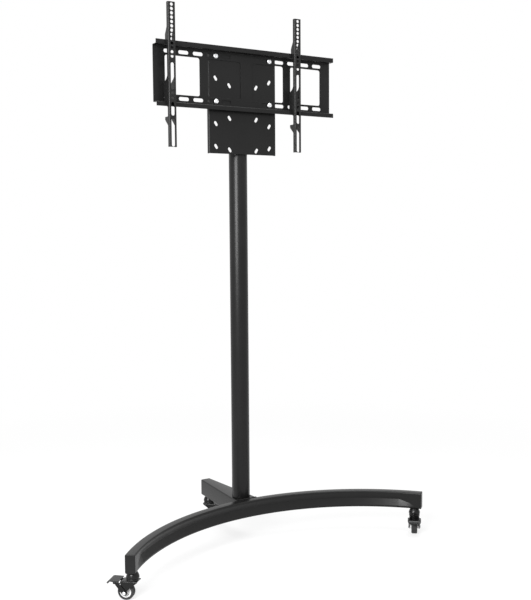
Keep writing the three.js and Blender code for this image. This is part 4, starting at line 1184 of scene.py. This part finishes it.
# %% Wheels
TREAD_RADIUS = 24.0
CORE_ROWS = [(3.3, 14.7), (6.6, 14.7), (7.5, 13.8), (7.5, 5), (8.1, 4.2), (9, 3.9), (11.2, 3.9)]
CORE_ROWS += [(12.2, 4.3), (12.7, 5.2), (12.8, 7.9), (13.3, 8.5), (16.2, 8.5), (16.7, 8)]
WEB_FROM, WEB_TO = 7.6, 12.75  # the web's radii
RIB_RISE, RIB_HALF, RIB_FLANK = 1.6, np.radians(9), np.radians(4)
TYRE_SIDE = [(17, 8.5), (17.6, 8.75), (18.2, 8.75), (18.6, 9.1), (20.9, 9.9), (21.7, 9.5), (22.6, 8.7)]
TYRE_SIDE += [(23.4, 7.8), (TREAD_RADIUS, 6.7), (TREAD_RADIUS, 3.4)]
TYRE_SIDE += [(23.7, 3.1), (23.7, 2.7), (TREAD_RADIUS, 2.4)]


def core_patch():
    """Rows of (radius, half width); the web rises by 1.6 mm within 9 degrees of each of six ribs."""
    radius, half = np.array(CORE_ROWS).T[:, :, None]
    angle = full_turn(120)
    from_rib = np.abs((angle + np.pi / 6) % (np.pi / 3) - np.pi / 6)
    rise = RIB_RISE * np.clip((RIB_HALF - from_rib) / RIB_FLANK, 0, 1)
    on_web = (radius > WEB_FROM) & (radius < WEB_TO)
    front = spread(radius * np.cos(angle), radius * np.sin(angle), half + rise * on_web)
    back = front * np.array([1, 1, -1])
    return grid(np.concatenate([front, back[::-1]]), wrap_rows=True, wrap_columns=True)


def tyre_profile():
    """A ring with round shoulders, a shallow lip beside the rim and two tread rings."""
    side = np.array(TYRE_SIDE)
    return np.concatenate([side, (side * np.array([1, -1]))[::-1]])


for side in CASTERS:
    wheel = f"{side}_wheel"
    core = from_caster(side, [about_axle(core_patch())])
    tyre = from_caster(side, [about_axle(turned(tyre_profile(), 120, closed=True))])
    make_piece(f"{side}_core_moulded", core, wheel, "wheel_plastic", [f"{side}_wheel_core"], sharp=35)
    make_piece(f"{side}_tyre_moulded", tyre, wheel, "tyre_rubber", [f"{side}_tyre"], sharp=35)
print("wheels:", 2 * TREAD_RADIUS, "mm across")

# %% [markdown]
# The brake has a tread for the toe and a lever under it. The tread is a wide strip of dark plated
# steel, level with the fork's crown, whose nose rolls down. Its grid narrows over the last rows,
# which rounds the corners of the nose.

# %% Brake treads
TREAD_REAR, TREAD_TIP, TREAD_HALF = 34.5, 71.5, 22.0
TREAD_SHEET, NOSE_FOOT, NOSE_BEND = 2.0, 46.0, 9.0
NOSE_CORNER = 11.0


def tread_patch():
    """At a distance s < c from the end of the nose, half the width loses c - sqrt(c^2 - (c - s)^2)."""
    level, front = CROWN_TOP - TREAD_SHEET / 2, TREAD_TIP - TREAD_SHEET / 2
    side_view = open_path([(TREAD_REAR, level), (front, level), (front, NOSE_FOOT)], NOSE_BEND, 12)
    line = finer(side_view, 70, closed=False)
    to_end = distance_run(line[::-1])[::-1]
    short = np.clip(NOSE_CORNER - to_end, 0, NOSE_CORNER)
    half = TREAD_HALF - NOSE_CORNER + np.sqrt(NOSE_CORNER**2 - short**2)
    return grid(spread(line[:, :1], half[:, None] * np.linspace(-1, 1, 25), line[:, 1:]))


for side in CASTERS:
    tread = from_caster(side, [tread_patch()])
    nodes = [f"{side}_brake_pedal"]
    make_piece(f"{side}_tread_rolled", tread, f"{side}_pedal", "pedal_steel", nodes, TREAD_SHEET, burr=0.35)
print("treads reach", TREAD_TIP - AXLE_X, "mm from the axle")

# %% [markdown]
# The lever is black: a plate under the tread, an arm folded down outside each fork leg to the axle,
# and in the middle an upright web whose lower bar reaches for the tyre. The plate and arms are
# folded sheet again. The web is a flat outline with a window, pulled sideways.

# %% Brake levers
LEVER_SHEET, LEVER_MID_Y, LEVER_MID_Z = 1.8, 18.7, 54.8
LEVER_REAR, LEVER_ROOT, LEVER_FRONT = 36.5, 50.5, 59.9
LEVER_FOOT_RADIUS = 7.0
WEB_HALF, WEB_SIDE_CORNERS = 2.5, [0.6, 0.4, 0.6, 0.6, 0.4, 1.5, 0.4, 0.4, 0.6, 0.6]
WEB_SIDE = [(39.4, 40.9), (49.7, 40.9), (49.7, 35.9), (51.7, 35.9), (51.7, 40.9), (LEVER_FRONT, 40.9)]
WEB_SIDE += [(LEVER_FRONT, 54.5), (43.2, 54.5), (43.2, 43.7), (39.4, 43.7)]
WEB_WINDOW, WINDOW_RADIUS = (51.7, 43.7, 57.9, 52.7), 0.8


def lever_patches():
    """A plate, a quarter circle down along each side of its rear part, and two arms with round feet."""
    inner = LEVER_MID_Y - BEND
    ends = np.linspace(LEVER_REAR, LEVER_ROOT, 9)
    rows = np.append(ends, LEVER_FRONT)[:, None]
    patches = [grid(spread(rows, np.linspace(-inner, inner, 13), LEVER_MID_Z))]
    out, down = quarter_bend(BEND)
    for side in (-1, 1):
        ear = side * np.array([inner, LEVER_MID_Y + LEVER_SHEET / 2])
        patches.append(grid(spread(np.array([[LEVER_ROOT], [LEVER_FRONT]]), ear, LEVER_MID_Z)))
        patches.append(grid(spread(ends[:, None], side * (inner + out), LEVER_MID_Z - down)))
        foot = arc_line(AXLE_X, AXLE_Z, LEVER_FOOT_RADIUS, 140, 323, 16)
        outline = np.concatenate([spread(ends[::-1], LEVER_MID_Z - BEND), foot])
        patches.append(filled([outline, hole(AXLE_X, AXLE_Z, AXLE_HOLE)], facing(side * LEVER_MID_Y)))
    return patches


def web_patches():
    """The side view of the web: a top bar, a post with a pin, a bar to the tyre, and a window."""
    soft = rounded(WEB_SIDE, WEB_SIDE_CORNERS, steps=3)
    opening = rounded(rectangle(*WEB_WINDOW), WINDOW_RADIUS, steps=3)
    return slab([soft, opening], lambda x, z, y: spread(x, y, z), -WEB_HALF, WEB_HALF)


for side in CASTERS:
    lever, web = from_caster(side, lever_patches()), from_caster(side, web_patches())
    nodes = [f"{side}_brake_lever"]
    make_piece(f"{side}_lever_folded", lever, f"{side}_pedal", "caster_black", nodes, LEVER_SHEET, BURR)
    make_piece(f"{side}_shoe_web", web, f"{side}_pedal", "caster_black", burr=BURR)
print("levers reach", LEVER_FRONT - AXLE_X, "mm from the axle")

# %% [markdown]
# The axle is a rivet with a round head on one side and a thin nut on the other. It holds the wheel,
# the fork's feet and the lever's feet together, so it is as long as all of them.

# %% Axles
AXLE_HALF, AXLE_END, AXLE_RADIUS, AXLE_NUT = 19.9, 22.1, 3.0, 9.0
RIVET_RADIUS, RIVET_CORNERS = 5.5, [0, 0, 1.6, 0]
TIP_CHAMFER, NUT_BELOW_TIP = (2.6, 0.3), 0.4  # the chamfer's end radius and its height


def axle_patches():
    """A round rivet head, a thin rod and a chamfered nut with the rod's end standing out of it."""
    head = rounded(rectangle(0, -AXLE_HALF, RIVET_RADIUS, -AXLE_END), RIVET_CORNERS, 5)
    rod = rectangle(0, -AXLE_HALF, AXLE_RADIUS, AXLE_HALF)
    tip_radius, tip_height = TIP_CHAMFER
    tip = [(0, AXLE_HALF), (AXLE_RADIUS, AXLE_HALF), (AXLE_RADIUS, AXLE_END - tip_height)]
    tip += [(tip_radius, AXLE_END), (0, AXLE_END)]
    end_nut = hexagon(AXLE_NUT, AXLE_HALF, AXLE_END - NUT_BELOW_TIP)
    return [about_axle(patch) for patch in (turned(head, 40), turned(rod, 32), end_nut, turned(tip, 32))]


for side in CASTERS:
    axle = from_caster(side, axle_patches())
    make_piece(f"{side}_axle_rivet", axle, f"{side}_caster", "zinc", [f"{side}_axle"], sharp=30)
print("axles:", len(CASTERS))

# %% [markdown]
# ## The nodes that stay
# Threaded stems, tube nuts, foot plug and foot bolts are shaped well enough in the CAD model. They
# only need their finish, and each of them gets bright zinc.

# %% Finishes of the CAD nodes
shown = [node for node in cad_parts.values() if not node.hide_render]
for node in shown:
    for place_in_node in node.material_slots:
        place_in_node.material = ZINC
print("CAD nodes that still show:", ", ".join(sorted(node.name for node in shown)))

# %% [markdown]
# ## Floor and light
# The stand was photographed on seamless white. The floor is a pale disc that keeps a soft shadow: for
# the camera it is part lit paint and part plain white. The white part grows with the distance from
# the stand, so the floor runs into the world without a line.

# %% Floor
NEAR_WHITE = 0.75
WHITE_FROM, WHITE_TO = 0.9, 2.6  # metres
SPECKLE = 0.5  # metres across
FLOOR_DROP, FLOOR_MIDDLE, FLOOR_RADIUS = 0.05, 2000.0, 40000.0


def white_floor():
    """Camera rays and mirror-like rays see lit paint under a share of plain white, which rises smoothly
    from 3/4 near the stand to 1 far away; every other ray sees the paint."""
    finish = Finish("studio_floor")
    colour = finish.mix(finish.noise(SPECKLE), 0.93, 0.95)
    paint = finish.node("ShaderNodeBsdfDiffuse", inputs={"Color": colour})
    white = finish.node("ShaderNodeEmission", inputs={"Color": (1, 1, 1, 1), "Strength": 1.0})
    distance = finish.node("ShaderNodeVectorMath", {"operation": "LENGTH"}, {0: finish.place()}, "Value")
    span = {"Value": distance, "From Min": WHITE_FROM, "From Max": WHITE_TO}
    fade = finish.node("ShaderNodeMapRange", {"interpolation_type": "SMOOTHSTEP"}, span, "Result")
    direct = finish.ray("Is Camera Ray").larger(finish.ray("Is Glossy Ray"))
    share = direct * (NEAR_WHITE + (1 - NEAR_WHITE) * fade)
    both = finish.node("ShaderNodeMixShader", inputs={0: share, 1: paint, 2: white})
    return finish.end("ShaderNodeOutputMaterial", both)


floor_profile = [(0, -FLOOR_DROP), (FLOOR_MIDDLE, -FLOOR_DROP), (FLOOR_RADIUS, -FLOOR_DROP)]
floor_points, floor_faces = turned(floor_profile, 96)
floor_mesh = bpy.data.meshes.new("floor")
floor_mesh.from_pydata(to_frame(floor_points).tolist(), [], floor_faces.tolist())
floor_mesh.materials.append(white_floor())
floor = bpy.data.objects.new("floor", floor_mesh)
bpy.context.scene.collection.objects.link(floor)
print("floor radius:", FLOOR_RADIUS * MM, "m")

# %% [markdown]
# The world is white to the camera and to mirror-like rays, and half as bright to everything that it
# lights. A large lamp from the left gives the tubes their bright edge, as in a product studio, and a
# weaker one above opens the upper faces.

# %% World and lamps
FILL = 0.5
LAMPS = {  # place, aim, size in metres and power in watts
    "left_softbox": ((-2600, -1700, 1900), (0, 0, 900), 1.6, 150),
    "top_softbox": ((200, -600, 3400), (0, 0, 700), 2.0, 60),
}


def soft_lamp(name, place, aim, size, power):
    """A square lamp at a place in millimetres, turned towards its aim."""
    data = bpy.data.lights.new(name, "AREA")
    data.size = size
    data.energy = power
    lamp = bpy.data.objects.new(name, data)
    bpy.context.scene.collection.objects.link(lamp)
    lamp.location = to_frame(place)
    lamp.rotation_euler = Vector(to_frame(aim) - to_frame(place)).to_track_quat("-Z", "Y").to_euler()
    return lamp


studio = Finish("studio", "worlds")
direct = studio.ray("Is Camera Ray").larger(studio.ray("Is Glossy Ray"))
direct = direct.larger(studio.ray("Is Transmission Ray"))
shine_in = {"Color": (1, 1, 1, 1), "Strength": FILL + (1 - FILL) * direct}
backdrop = studio.node("ShaderNodeBackground", inputs=shine_in)
bpy.context.scene.world = studio.end("ShaderNodeOutputWorld", backdrop)
for name, settings in LAMPS.items():
    soft_lamp(name, *settings)
bpy.context.scene.view_settings.view_transform = "Standard"
print("lamps:", ", ".join(LAMPS))

# %% [markdown]
# ## Check and finish
# Each piece is compared with the CAD nodes that it stands for.

# %% Compare with the CAD nodes
depsgraph = bpy.context.evaluated_depsgraph_get()
worst = []
for name, (piece, nodes) in MADE.items():
    if not nodes:
        continue
    corners = np.array([list(c) for c in piece.evaluated_get(depsgraph).bound_box])
    node_boxes = [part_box(node) for node in nodes]
    low = np.min([list(box[0]) for box in node_boxes], axis=0)
    high = np.max([list(box[1]) for box in node_boxes], axis=0)
    apart = max(np.abs(corners.min(axis=0) - low).max(), np.abs(corners.max(axis=0) - high).max())
    worst.append((round(apart / MM, 2), name))
worst.sort(reverse=True)
print("largest box differences, mm:", worst[:12])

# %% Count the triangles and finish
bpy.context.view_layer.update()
triangles = sum(len(piece.evaluated_get(depsgraph).to_mesh().loop_triangles) for piece, _ in MADE.values())
print("triangles in the new pieces:", triangles)
